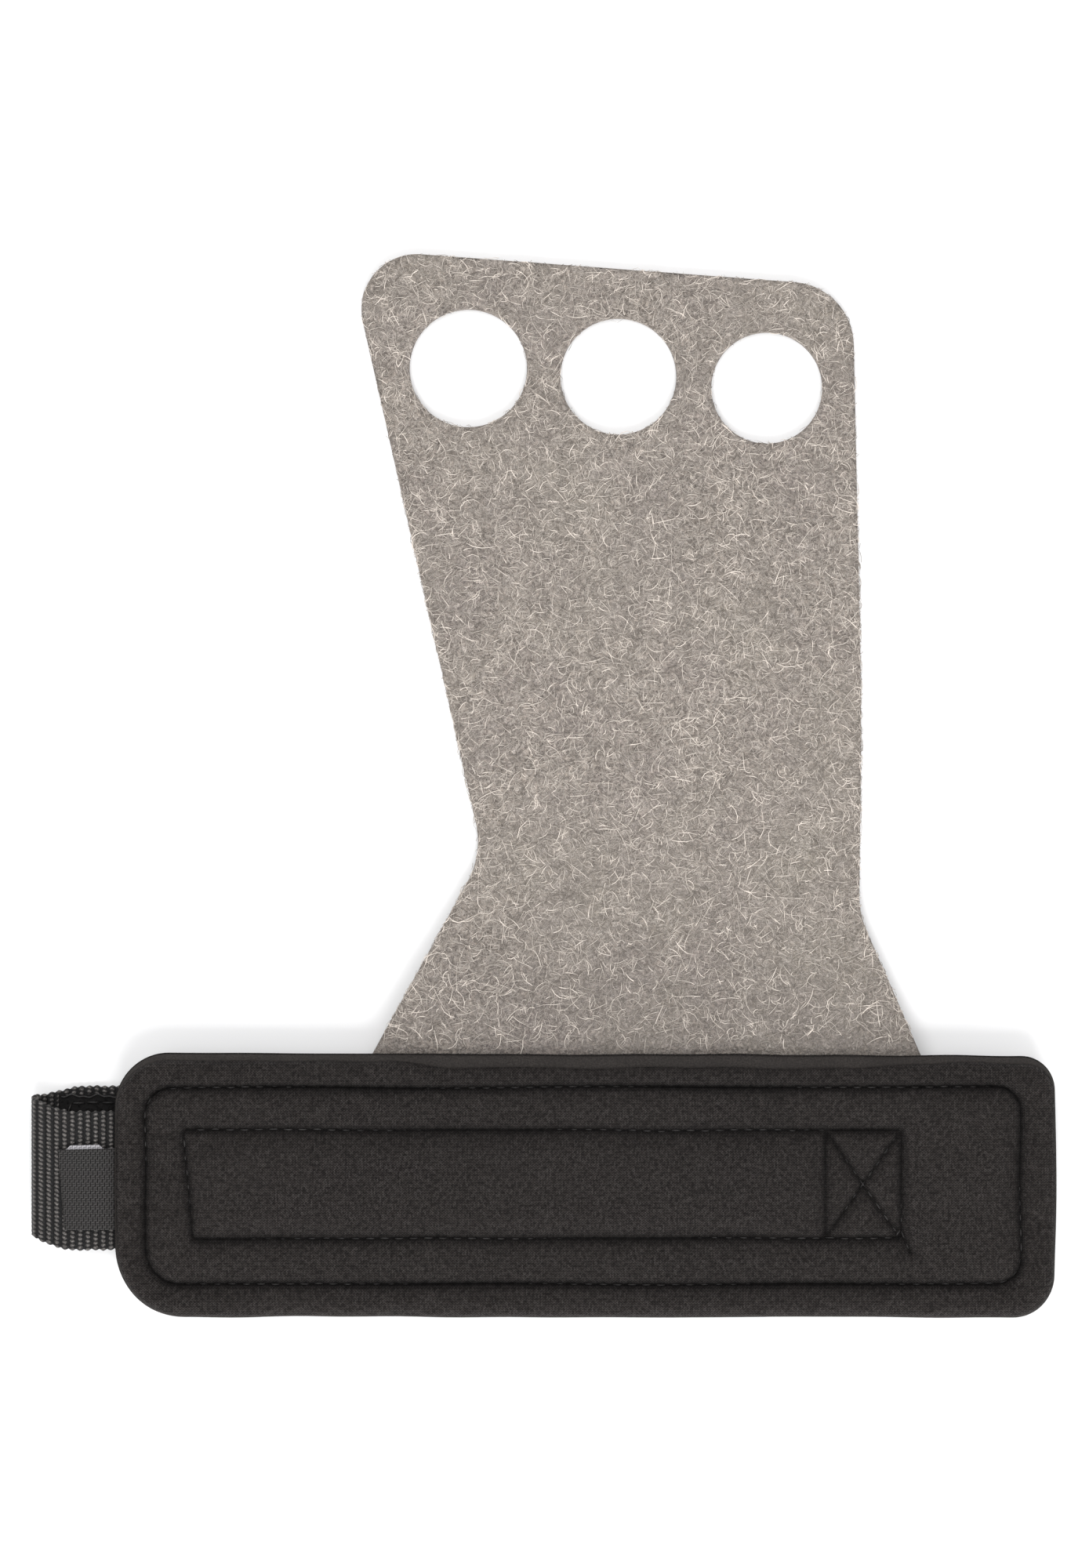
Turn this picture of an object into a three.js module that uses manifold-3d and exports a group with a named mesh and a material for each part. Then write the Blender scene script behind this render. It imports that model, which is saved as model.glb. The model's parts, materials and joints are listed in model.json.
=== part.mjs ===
// A palm grip for bar work: a suede palm with three finger holes, a padded wrist cuff,
// and a webbing strap that is stored folded back under the cuff.
// Millimetres, +Z up. The hand side faces up and the fingers point along +Y.
// The origin is the middle of the whole grip's footprint, on the surface it lies on.
import * as THREE from "three";
import { mergeVertices } from "three/addons/utils/BufferGeometryUtils.js";
import Module from "manifold-3d";

// ---------------------------------------------------------------- driving dimensions

const clearance = 0.3; // between neighbours that turn on each other, and round a thread
const layerGap = 0.05; // between plies that lie flat on each other

const webbing = { width: 25, thickness: 1.4 };
const tape = { margin: 1.3, thickness: 0.9, seamInset: 1.5 };
tape.width = webbing.width - 2 * tape.margin;
const thread = { width: 0.5, height: 0.32, groove: 0.42 };
const leather = { thickness: 2 };
const padLayers = { outerJersey: 0.6, foam: 2.8, innerJersey: 0.7 };
const panel = { thickness: 0.8, margin: 2.5 };

// The cuff's outline, with the strap's end at low X.
const pad = { left: -77.3, right: 92.8, front: -48.6, back: -96.3, strapEndRadius: 9.6, ringEndRadius: 6 };
const perimeterSeam = { inset: 6, radius: 4 };

// The strap, which lies along X.
const strap = {
  centreY: -72.2, // of the sewn run, under the cuff
  foldY: -69.3, // of the sewn run where it reaches the fold
  bendY: -68.5,
  freeY: -67.6, // of the free run, which comes back under the cuff a little askew
  foldReach: 16.1, // how far the fold stands out from the cuff
  bendRadius: 3, // of the fold, to the outer face
  freeLength: 138.1,
  tipRadius: 5,
};
const strapSeam = { left: -64.4, right: 65.2, inset: 2.65 };
const boxLeft = 51.4; // the crossed box is between this and the strap seam's ring end
const returnPlyLeft = 50.3; // the cut end of the webbing that wraps the ring's bar
const returnPlyFlat = 66; // where that ply leaves the sewn run to go round the bar

const ring = { barX: 72, wire: 2.4, slotWidth: 8, cornerRadius: 1.6, sidePlay: 0.5, loopPlay: 0.35 };
ring.slotLength = webbing.width + 2 * ring.sidePlay;

const sewnTape = { left: -69, right: 48.6 };
const loopTape = { left: -88.6, right: -12 };
const hookTape = { left: -8, right: 44 };

const label = { width: 15.3, centreY: -73.1, reach: 11, ply: 0.3, plyGap: 0.1, hingeOut: 1.2 };

// The leather's outline: each corner's place, and the radius it is rounded to.
const palmOutline = [
  { x: -35.7, y: 98.5, radius: 8.2 }, // little-finger corner
  { x: -10.8, y: -12.4, radius: 15.4 }, // neck, left
  { x: -30.8, y: -48.6, radius: 0 }, // into the cuff, left
  { x: 68.6, y: -48.6, radius: 0 }, // into the cuff, right
  { x: 57.8, y: -23.4, radius: 16 }, // neck, right
  { x: 58.4, y: 11.2, radius: 900 }, // the long, slightly bowed right edge
  { x: 56.9, y: 91.6, radius: 11.5 }, // first-finger corner
];
const tab = { strapGap: 2.2 }; // the leather goes in under the cuff to this far from the strap
tab.depth = pad.front - (strap.centreY + webbing.width / 2) - tab.strapGap;
const fingerHoles = [
  { x: -13.6, y: 76.6, radius: 10.9 },
  { x: 13.9, y: 75.1, radius: 10.75 },
  { x: 41.1, y: 73, radius: 10.3 },
];
const wristFoldOut = 2.2; // the wrist fold lies this far in front of the cuff
const fingerFoldBack = 2.7; // the finger fold lies this far behind the lowest hole
const palmLanding = -5; // in front of this the palm lies flat on the surface

// ---------------------------------------------------------------- levels worked out from those

const freeRun = { bottom: 0, top: webbing.thickness };
const freeTape = { bottom: freeRun.top + layerGap, top: freeRun.top + layerGap + tape.thickness };
const sewnRun = { bottom: 2 * strap.bendRadius - webbing.thickness, top: 2 * strap.bendRadius };
const sewnTapeZ = { bottom: sewnRun.bottom - layerGap - tape.thickness, top: sewnRun.bottom - layerGap };
const tabZ = { bottom: sewnRun.top - leather.thickness, top: sewnRun.top };
const panelZ = { bottom: sewnRun.top + layerGap, top: sewnRun.top + layerGap + panel.thickness };
const outerJerseyZ = { bottom: panelZ.top + layerGap, top: panelZ.top + layerGap + padLayers.outerJersey };
const foamZ = { bottom: outerJerseyZ.top + layerGap, top: outerJerseyZ.top + layerGap + padLayers.foam };
const innerJerseyZ = { bottom: foamZ.top + layerGap, top: foamZ.top + layerGap + padLayers.innerJersey };

const foldLeft = pad.left - strap.foldReach;
const bendX = foldLeft + strap.bendRadius;
const freeRight = bendX + strap.freeLength;
const lowestHole = Math.min(...fingerHoles.map((hole) => hole.y - hole.radius));
const wristFold = { y: pad.front + wristFoldOut, z: tabZ.bottom + leather.thickness / 2 };
const fingerFold = { y: lowestHole - fingerFoldBack, z: leather.thickness / 2 };

// ---------------------------------------------------------------- materials

const finish = (color, roughness, metalness = 0) =>
  new THREE.MeshStandardMaterial({ color, roughness, metalness });
const suede = finish(0xa69b93, 0.95);
const jersey = finish(0x332f2e, 0.9);
const foam = finish(0x3d3937, 0.85);
const panelCloth = finish(0x2b2928, 0.8);
const webCloth = finish(0x494544, 0.8);
const tapeCloth = finish(0x1c1b1b, 0.85);
const threadFinish = finish(0x1f1d1c, 0.55);
const satin = finish(0x403e3d, 0.4);
const steel = finish(0xb9babc, 0.3, 1);

// ---------------------------------------------------------------- shape helpers

const arcSteps = 8;
const planArcSteps = 4; // on the corners of flat plans, for each quarter and a bit

const wasm = await Module();
wasm.setup();

// A closed three.js geometry as a solid that can be cut and joined.
function solid(geometry) {
  const bare = geometry.clone();
  bare.deleteAttribute("normal");
  bare.deleteAttribute("uv");
  const merged = mergeVertices(bare, 1e-4);
  const vertProperties = new Float32Array(merged.attributes.position.array);
  const triVerts = new Uint32Array(merged.index.array);
  return new wasm.Manifold(new wasm.Mesh({ numProp: 3, vertProperties, triVerts }));
}

// A solid back as a three.js geometry.
function geometryOf(manifold) {
  const mesh = manifold.getMesh();
  const geometry = new THREE.BufferGeometry();
  geometry.setAttribute("position", new THREE.BufferAttribute(mesh.vertProperties, 3));
  geometry.setIndex(new THREE.BufferAttribute(mesh.triVerts, 1));
  geometry.computeVertexNormals();
  return geometry;
}

// A flat plan in X and Y, as a plate from one level to another.
function plate(shape, low, high) {
  const geometry = new THREE.ExtrudeGeometry(shape, {
    depth: high - low,
    bevelEnabled: false,
    curveSegments: planArcSteps,
  });
  return geometry.translate(0, 0, low);
}

// A side view drawn in X and Z, carried along Y.
function carriedAlongY(shape, low, high) {
  return plate(shape, -high, -low).rotateX(Math.PI / 2);
}

// A side view drawn in Y and Z, carried along X.
function carriedAlongX(shape, low, high) {
  const [x, y, z] = [new THREE.Vector3(1, 0, 0), new THREE.Vector3(0, 1, 0), new THREE.Vector3(0, 0, 1)];
  return plate(shape, low, high).applyMatrix4(new THREE.Matrix4().makeBasis(y, z, x));
}

// A polygon whose corners are rounded by arcs tangent to both sides.
function roundedPolygon(corners) {
  const shape = new THREE.Shape();
  corners.forEach((corner, i) => {
    const here = new THREE.Vector2(corner.x, corner.y);
    const last = corners.at(i - 1);
    const next = corners[(i + 1) % corners.length];
    const back = new THREE.Vector2(last.x, last.y).sub(here).normalize();
    const on = new THREE.Vector2(next.x, next.y).sub(here).normalize();
    if (corner.radius > 0) {
      const half = Math.acos(THREE.MathUtils.clamp(back.dot(on), -1, 1)) / 2;
      const start = here.clone().addScaledVector(back, corner.radius / Math.tan(half));
      const end = here.clone().addScaledVector(on, corner.radius / Math.tan(half));
      const inward = back.clone().add(on).normalize();
      const middle = here.clone().addScaledVector(inward, corner.radius / Math.sin(half));
      const clockwise = back.cross(on) > 0;
      const from = Math.atan2(start.y - middle.y, start.x - middle.x);
      const to = Math.atan2(end.y - middle.y, end.x - middle.x);
      shape.absarc(middle.x, middle.y, corner.radius, from, to, clockwise);
    } else if (i === 0) {
      shape.moveTo(here.x, here.y);
    } else {
      shape.lineTo(here.x, here.y);
    }
  });
  shape.closePath();
  return shape;
}

// A rectangle with one corner radius at its left end and one at its right.
function roundedBox(box, leftRadius, rightRadius = leftRadius) {
  return roundedPolygon([
    { x: box.left, y: box.back, radius: leftRadius },
    { x: box.right, y: box.back, radius: rightRadius },
    { x: box.right, y: box.front, radius: rightRadius },
    { x: box.left, y: box.front, radius: leftRadius },
  ]);
}

const grown = (box, by) => ({
  left: box.left - by,
  right: box.right + by,
  back: box.back - by,
  front: box.front + by,
});

// The band of a given width that follows a rounded rectangle.
function seamBand(box, radius, width) {
  const band = roundedBox(grown(box, width / 2), radius + width / 2);
  band.holes.push(roundedBox(grown(box, -width / 2), Math.max(radius - width / 2, 0.05)));
  return band;
}

// A ribbon seen edge on: a line with a thickness, its corners mitred.
function ribbonSection(line, thickness) {
  const sides = [[], []];
  line.forEach((point, i) => {
    const from = line[Math.max(i - 1, 0)];
    const to = line[Math.min(i + 1, line.length - 1)];
    const before = point.clone().sub(from).normalize();
    const after = to.clone().sub(point).normalize();
    const along = before.add(after).normalize();
    const mitre = i > 0 && i < line.length - 1 ? 1 / Math.max(along.dot(after), 0.3) : 1;
    const across = new THREE.Vector2(-along.y, along.x).multiplyScalar((mitre * thickness) / 2);
    sides[0].push(point.clone().add(across));
    sides[1].unshift(point.clone().sub(across));
  });
  return new THREE.Shape(sides.flat());
}

// Points along an arc, both ends included, with angles in degrees.
function arcPoints(x, y, radius, from, to, steps) {
  return Array.from({ length: steps + 1 }, (_, i) => {
    const angle = THREE.MathUtils.degToRad(from + ((to - from) * i) / steps);
    return new THREE.Vector2(x + radius * Math.cos(angle), y + radius * Math.sin(angle));
  });
}

// A straight bar of thread or groove between two points in plan.
function bar(from, to, width, low, high) {
  const length = Math.hypot(to.x - from.x, to.y - from.y);
  const turn = Math.atan2(to.y - from.y, to.x - from.x);
  const box = new THREE.BoxGeometry(length + width, width, high - low);
  box.rotateZ(turn);
  return solid(box.translate((from.x + to.x) / 2, (from.y + to.y) / 2, (low + high) / 2));
}

const assembly = new THREE.Group();

function addPiece(name, shapeOrSolid, material) {
  const geometry = shapeOrSolid.isBufferGeometry ? shapeOrSolid : geometryOf(shapeOrSolid);
  const mesh = new THREE.Mesh(geometry, material);
  mesh.name = name;
  assembly.add(mesh);
}

const everywhere = 400; // longer than anything that is cut

// ---------------------------------------------------------------- seams

const grooveWidth = thread.width + 2 * clearance;
const padBox = { left: pad.left, right: pad.right, back: pad.back, front: pad.front };
const perimeterBox = grown(padBox, -perimeterSeam.inset);
const strapSeamBox = {
  left: strapSeam.left,
  right: strapSeam.right,
  back: strap.centreY - webbing.width / 2 + strapSeam.inset,
  front: strap.centreY + webbing.width / 2 - strapSeam.inset,
};
const crossBox = { ...strapSeamBox, left: boxLeft };
const strapSeamRadius = 0.8;

// The box's own line and its two diagonals, kept clear of the strap seam's lines by the gap given.
function crossedBox(width, gap, low, high) {
  const lowLeft = { x: crossBox.left, y: crossBox.back + gap };
  const highLeft = { x: crossBox.left, y: crossBox.front - gap };
  const lowRight = { x: crossBox.right - gap, y: crossBox.back + gap };
  const highRight = { x: crossBox.right - gap, y: crossBox.front - gap };
  return bar(lowLeft, highLeft, width, low, high)
    .add(bar(lowLeft, highRight, width, low, high))
    .add(bar(highLeft, lowRight, width, low, high));
}

const crossGap = thread.width + clearance + 0.2;

// What a seam's groove takes away between two levels, and the thread band that lies in it.
function seamGroove(box, radius, levels) {
  return solid(plate(seamBand(box, radius, grooveWidth), levels.bottom, levels.top));
}

function threadOnFloor(box, radius, floor, side) {
  const band = seamBand(box, radius, thread.width);
  return side > 0 ? plate(band, floor, floor + thread.height) : plate(band, floor - thread.height, floor);
}

// ---------------------------------------------------------------- the padded cuff

function padPly(layer) {
  return plate(roundedBox(padBox, pad.strapEndRadius, pad.ringEndRadius), layer.bottom, layer.top);
}

const faceGroove = { bottom: innerJerseyZ.top - thread.groove, top: innerJerseyZ.top + 1 };
const faceGrooves = seamGroove(perimeterBox, perimeterSeam.radius, faceGroove)
  .add(seamGroove(strapSeamBox, strapSeamRadius, faceGroove))
  .add(crossedBox(grooveWidth, crossGap, faceGroove.bottom, faceGroove.top));
addPiece("pad_inner_jersey", solid(padPly(innerJerseyZ)).subtract(faceGrooves), jersey);
addPiece("pad_foam_core", padPly(foamZ), foam);
addPiece("pad_outer_jersey", padPly(outerJerseyZ), jersey);

const panelBox = grown(perimeterBox, panel.margin);
const panelGroove = { bottom: panelZ.bottom - 1, top: panelZ.bottom + thread.groove };
const panelPlan = roundedBox(panelBox, perimeterSeam.radius + panel.margin);
addPiece(
  "outer_panel",
  solid(plate(panelPlan, panelZ.bottom, panelZ.top)).subtract(
    seamGroove(perimeterBox, perimeterSeam.radius, panelGroove),
  ),
  panelCloth,
);

// ---------------------------------------------------------------- the leather palm

// The outline goes on under the cuff along its last slopes.
function leatherOutline() {
  const corners = palmOutline.map((corner) => ({ ...corner }));
  const [neckLeft, baseLeft, baseRight, neckRight] = corners.slice(1, 5);
  const spread = (neck, base) => (base.x - neck.x) / (base.y - neck.y);
  const leftSpread = spread(neckLeft, baseLeft);
  const rightSpread = spread(neckRight, baseRight);
  baseLeft.x -= leftSpread * tab.depth;
  baseRight.x -= rightSpread * tab.depth;
  baseLeft.y -= tab.depth;
  baseRight.y -= tab.depth;
  return roundedPolygon(corners);
}

const leatherPlan = solid(plate(leatherOutline(), -everywhere / 2, everywhere / 2));
const halfLeather = leather.thickness / 2;

// The stretch of the leather whose side view is given.
function leatherPiece(sideView) {
  return leatherPlan.intersect(solid(carriedAlongX(sideView, -everywhere / 2, everywhere / 2)));
}

// The round edge of a piece that turns about a fold.
function foldNose(fold) {
  return arcPoints(fold.y, fold.z, halfLeather, 90, 270, arcSteps);
}

function fallFromCuff() {
  const steps = 14;
  return Array.from({ length: steps }, (_, i) => {
    const share = (i + 1) / steps;
    const y = THREE.MathUtils.lerp(wristFold.y, palmLanding, share);
    const z = THREE.MathUtils.lerp(wristFold.z, halfLeather, THREE.MathUtils.smoothstep(share, 0, 1));
    return new THREE.Vector2(y, z);
  });
}

// A side view that starts at a fold with a round edge and follows the line of points given.
function sideViewFrom(fold, line) {
  const above = line.map((point) => point.clone().add(new THREE.Vector2(0, halfLeather)));
  const below = line.map((point) => point.clone().sub(new THREE.Vector2(0, halfLeather)));
  return new THREE.Shape([...foldNose(fold), ...below, ...above.reverse()]);
}

const tabEnd = wristFold.y - halfLeather - clearance;
const tabView = new THREE.Shape([
  new THREE.Vector2(pad.front - tab.depth, tabZ.bottom),
  new THREE.Vector2(tabEnd, tabZ.bottom),
  new THREE.Vector2(tabEnd, tabZ.top),
  new THREE.Vector2(pad.front - tab.depth, tabZ.top),
]);
const palmEnd = new THREE.Vector2(fingerFold.y - halfLeather - clearance, halfLeather);
const fingertips = new THREE.Vector2(everywhere / 4, halfLeather);

// The perimeter seam goes through the tab, and its lower thread lies on the leather there.
const leatherSeam = {
  left: palmOutline[2].x + clearance,
  right: palmOutline[3].x - clearance,
  y: perimeterBox.front,
};
const leatherSeamEnds = [
  { x: leatherSeam.left, y: leatherSeam.y },
  { x: leatherSeam.right, y: leatherSeam.y },
];
const leatherGroove = bar(...leatherSeamEnds, grooveWidth, tabZ.bottom - 1, tabZ.bottom + thread.groove);
addPiece("palm_leather_tab", leatherPiece(tabView).subtract(leatherGroove), suede);
addPiece("palm_leather", leatherPiece(sideViewFrom(wristFold, [...fallFromCuff(), palmEnd])), suede);

const holes = fingerHoles.map((hole) => {
  const cutter = new THREE.CylinderGeometry(hole.radius, hole.radius, 4 * leather.thickness, 40);
  return solid(cutter.rotateX(Math.PI / 2).translate(hole.x, hole.y, halfLeather));
});
addPiece(
  "finger_leather",
  holes.reduce((piece, hole) => piece.subtract(hole), leatherPiece(sideViewFrom(fingerFold, [fingertips]))),
  suede,
);

// ---------------------------------------------------------------- the strap

// A straight stretch of webbing or tape in plan, with round corners at its right end.
function ribbonPlan(left, right, centre, width, rightRadius = 0) {
  const box = { left, right, back: centre - width / 2, front: centre + width / 2 };
  return roundedBox(box, 0, rightRadius);
}

// The sewn run: from the fold, along the cuff, round the ring's bar and back to the crossed box.
const middle = (layer) => (layer.bottom + layer.top) / 2;
const barLoopRadius = ring.wire / 2 + ring.loopPlay + webbing.thickness / 2;
const barZ = middle(sewnRun) - barLoopRadius;
const returnPly = { top: sewnRun.bottom - layerGap, bottom: sewnRun.bottom - layerGap - webbing.thickness };

function sewnRunLine() {
  const leave = new THREE.Vector2(returnPlyFlat, middle(returnPly));
  const reach = Math.hypot(leave.x - ring.barX, leave.y - barZ);
  const toward = THREE.MathUtils.radToDeg(Math.atan2(leave.y - barZ, leave.x - ring.barX));
  const tangent = toward + THREE.MathUtils.radToDeg(Math.acos(barLoopRadius / reach)) - 360;
  return [
    new THREE.Vector2(bendX + clearance, middle(sewnRun)),
    ...arcPoints(ring.barX, barZ, barLoopRadius, 90, tangent, 2 * arcSteps),
    leave,
    new THREE.Vector2(returnPlyLeft, middle(returnPly)),
  ];
}

// In plan the run is straight under the cuff and slants to the fold outside it.
const sewnRunPlan = new THREE.Shape([
  new THREE.Vector2(bendX - 1, strap.foldY - webbing.width / 2),
  new THREE.Vector2(pad.left, strap.centreY - webbing.width / 2),
  new THREE.Vector2(everywhere / 2, strap.centreY - webbing.width / 2),
  new THREE.Vector2(everywhere / 2, strap.centreY + webbing.width / 2),
  new THREE.Vector2(pad.left, strap.centreY + webbing.width / 2),
  new THREE.Vector2(bendX - 1, strap.foldY + webbing.width / 2),
]);
const lowGroove = { bottom: returnPly.bottom - 1, top: returnPly.bottom + thread.groove };
const boxGroove = seamGroove(crossBox, strapSeamRadius, lowGroove).add(
  crossedBox(grooveWidth, 0, lowGroove.bottom, lowGroove.top),
);
addPiece(
  "strap_sewn_run",
  solid(carriedAlongY(ribbonSection(sewnRunLine(), webbing.thickness), -everywhere / 2, everywhere / 2))
    .intersect(solid(plate(sewnRunPlan, -everywhere / 2, everywhere / 2)))
    .subtract(boxGroove),
  webCloth,
);

const bendMiddle = strap.bendRadius - webbing.thickness / 2;
const bendLine = arcPoints(bendX, strap.bendRadius, bendMiddle, 90, 270, 2 * arcSteps);
addPiece(
  "strap_bend",
  carriedAlongY(
    ribbonSection(bendLine, webbing.thickness),
    strap.bendY - webbing.width / 2,
    strap.bendY + webbing.width / 2,
  ),
  webCloth,
);

const tapeSeam = (piece, centre) => ({
  left: piece.left + tape.seamInset,
  right: piece.right - tape.seamInset,
  back: centre - tape.width / 2 + tape.seamInset,
  front: centre + tape.width / 2 - tape.seamInset,
});
const freeTapeSeams = [loopTape, hookTape].map((piece) => tapeSeam(piece, strap.freeY));
const freeRunPlan = ribbonPlan(bendX + clearance, freeRight, strap.freeY, webbing.width, strap.tipRadius);
const freeRunGroove = { bottom: -1, top: thread.groove };
addPiece(
  "strap_free_run",
  freeTapeSeams.reduce(
    (run, box) => run.subtract(seamGroove(box, strapSeamRadius, freeRunGroove)),
    solid(plate(freeRunPlan, freeRun.bottom, freeRun.top)),
  ),
  webCloth,
);

// ---------------------------------------------------------------- hook and loop tapes

const sewnTapePlan = ribbonPlan(sewnTape.left, sewnTape.right, strap.centreY, tape.width);
const sewnTapeSeam = { ...strapSeamBox, right: sewnTape.right - tape.seamInset };
const sewnTapeGroove = { bottom: sewnTapeZ.bottom - 1, top: sewnTapeZ.bottom + thread.groove };
addPiece(
  "sewn_loop_tape",
  solid(plate(sewnTapePlan, sewnTapeZ.bottom, sewnTapeZ.top)).subtract(
    seamGroove(sewnTapeSeam, strapSeamRadius, sewnTapeGroove),
  ),
  tapeCloth,
);

const freeTapeGroove = { bottom: freeTape.top - thread.groove, top: freeTape.top + 1 };
[
  ["free_loop_tape", loopTape],
  ["hook_tape", hookTape],
].forEach(([name, piece], i) => {
  const plan = ribbonPlan(piece.left, piece.right, strap.freeY, tape.width);
  const groove = seamGroove(freeTapeSeams[i], strapSeamRadius, freeTapeGroove);
  addPiece(name, solid(plate(plan, freeTape.bottom, freeTape.top)).subtract(groove), tapeCloth);
});

// ---------------------------------------------------------------- the ring

// A wire ring with an eight-sided section, one long side of it held in the strap's loop.
function ringGeometry() {
  const bevel = 0.29 * ring.wire;
  const slot = {
    left: ring.barX + ring.wire / 2,
    right: ring.barX + ring.wire / 2 + ring.slotWidth,
    back: strap.centreY - ring.slotLength / 2,
    front: strap.centreY + ring.slotLength / 2,
  };
  const outline = roundedBox(grown(slot, ring.wire - bevel), ring.cornerRadius + ring.wire - bevel);
  outline.holes.push(roundedBox(grown(slot, bevel), ring.cornerRadius));
  const geometry = new THREE.ExtrudeGeometry(outline, {
    depth: ring.wire - 2 * bevel,
    bevelThickness: bevel,
    bevelSize: bevel,
    bevelSegments: 1,
    curveSegments: planArcSteps,
  });
  return geometry.translate(0, 0, barZ - ring.wire / 2 + bevel);
}
addPiece("strap_ring", ringGeometry(), steel);

// ---------------------------------------------------------------- the folded label

const labelThickness = 2 * label.ply + label.plyGap;
const labelZ = sewnRun.top + 2 * layerGap + labelThickness / 2;
const labelHingeX = pad.left - label.hingeOut;
const labelBack = label.centreY - label.width / 2;
const labelFront = label.centreY + label.width / 2;

// Two plies that are one at the hinge's round edge, open at a fold on the far side.
function labelFlapView() {
  const farLeft = pad.left - label.reach;
  const outer = labelThickness / 2;
  const inner = label.plyGap / 2;
  const nose = arcPoints(labelHingeX, labelZ, outer, -90, 90, arcSteps);
  const fold = arcPoints(farLeft + outer, labelZ, outer, 90, 270, arcSteps);
  const view = new THREE.Shape([...nose, ...fold]);
  const slit = [
    new THREE.Vector2(farLeft + outer, labelZ - inner),
    new THREE.Vector2(labelHingeX - 1, labelZ - inner),
    new THREE.Vector2(labelHingeX - 1, labelZ + inner),
    new THREE.Vector2(farLeft + outer, labelZ + inner),
  ];
  view.holes.push(new THREE.Path(slit));
  return view;
}
addPiece("label_flap", carriedAlongY(labelFlapView(), labelBack, labelFront), satin);

const labelRootBox = {
  left: labelHingeX + labelThickness / 2 + clearance,
  right: panelBox.left - clearance,
  back: labelBack,
  front: labelFront,
};
const labelRootLevels = [labelZ - labelThickness / 2, labelZ + labelThickness / 2];
addPiece("label_root", plate(roundedBox(labelRootBox, 0), ...labelRootLevels), satin);

// ---------------------------------------------------------------- sewing threads

const faceFloor = faceGroove.bottom;
const leatherFloor = tabZ.bottom + thread.groove;
const threads = {
  perimeter_needle_thread: threadOnFloor(perimeterBox, perimeterSeam.radius, faceFloor, 1),
  perimeter_bobbin_thread: threadOnFloor(perimeterBox, perimeterSeam.radius, panelGroove.top, -1),
  leather_bobbin_thread: bar(...leatherSeamEnds, thread.width, leatherFloor - thread.height, leatherFloor),
  strap_needle_thread: threadOnFloor(strapSeamBox, strapSeamRadius, faceFloor, 1),
  strap_bobbin_thread: threadOnFloor(sewnTapeSeam, strapSeamRadius, sewnTapeGroove.top, -1),
  box_needle_thread: crossedBox(thread.width, crossGap, faceFloor, faceFloor + thread.height),
  box_bobbin_thread: solid(threadOnFloor(crossBox, strapSeamRadius, lowGroove.top, -1)).add(
    crossedBox(thread.width, 0, lowGroove.top - thread.height, lowGroove.top),
  ),
  free_loop_needle_thread: threadOnFloor(freeTapeSeams[0], strapSeamRadius, freeTapeGroove.bottom, 1),
  free_loop_bobbin_thread: threadOnFloor(freeTapeSeams[0], strapSeamRadius, freeRunGroove.top, -1),
  hook_needle_thread: threadOnFloor(freeTapeSeams[1], strapSeamRadius, freeTapeGroove.bottom, 1),
  hook_bobbin_thread: threadOnFloor(freeTapeSeams[1], strapSeamRadius, freeRunGroove.top, -1),
};
Object.entries(threads).forEach(([name, shape]) => addPiece(name, shape, threadFinish));

// ---------------------------------------------------------------- the origin, under the middle

const bounds = new THREE.Box3().setFromObject(assembly);
const centre = bounds.getCenter(new THREE.Vector3());
assembly.position.set(-centre.x, -centre.y, -bounds.min.z);

export default assembly;
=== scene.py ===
# %% [markdown]
# # A palm grip, with its looks built in Blender
#
# The grip is a suede palm with three finger holes, a padded neoprene cuff for the wrist and a
# webbing strap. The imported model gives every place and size. This file adds what the eye and
# the hand would notice: napped leather, knit cloth over foam, seams, ribs and tape.
# Lengths in this file are in millimetres until a mesh is made, and a mesh is in metres.

# %% The frame
import json

import bpy
import numpy as np
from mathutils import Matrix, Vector
from mathutils.geometry import delaunay_2d_cdt


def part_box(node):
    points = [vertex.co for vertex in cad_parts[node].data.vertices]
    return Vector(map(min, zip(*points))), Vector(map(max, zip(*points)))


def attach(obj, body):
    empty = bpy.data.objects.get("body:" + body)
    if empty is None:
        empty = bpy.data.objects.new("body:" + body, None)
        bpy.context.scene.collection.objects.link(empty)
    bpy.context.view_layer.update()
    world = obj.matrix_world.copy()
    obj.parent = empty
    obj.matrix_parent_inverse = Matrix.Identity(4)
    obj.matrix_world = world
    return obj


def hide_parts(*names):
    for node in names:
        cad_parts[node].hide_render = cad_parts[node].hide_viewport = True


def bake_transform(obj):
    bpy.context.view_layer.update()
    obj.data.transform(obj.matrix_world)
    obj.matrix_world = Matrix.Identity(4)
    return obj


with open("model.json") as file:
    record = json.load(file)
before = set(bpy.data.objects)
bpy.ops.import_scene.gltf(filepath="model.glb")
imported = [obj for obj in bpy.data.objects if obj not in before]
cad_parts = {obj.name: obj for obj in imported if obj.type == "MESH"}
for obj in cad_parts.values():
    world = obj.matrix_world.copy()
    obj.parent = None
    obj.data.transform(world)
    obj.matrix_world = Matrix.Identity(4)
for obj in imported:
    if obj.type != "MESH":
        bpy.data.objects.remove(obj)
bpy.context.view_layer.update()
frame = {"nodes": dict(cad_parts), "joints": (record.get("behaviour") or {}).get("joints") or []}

MM = 0.001
UP = np.array([0, 0, 1.0])
dice = np.random.default_rng(11)


def node_box(name):
    """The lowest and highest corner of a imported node, in millimetres."""
    low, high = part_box(name)
    return np.array(low) / MM, np.array(high) / MM


cuff_low, cuff_high = node_box("pad_foam_core")
print("cuff", cuff_low.round(2), cuff_high.round(2))

# %% [markdown]
# ## Meshes from arrays
#
# Every piece is a closed surface worked out as whole arrays. A grid of points becomes faces by
# counting rows and columns. A flat outline with holes is filled with triangles by a constrained
# Delaunay triangulation, because a grid can't follow a hole and a seam at the same time.


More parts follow.
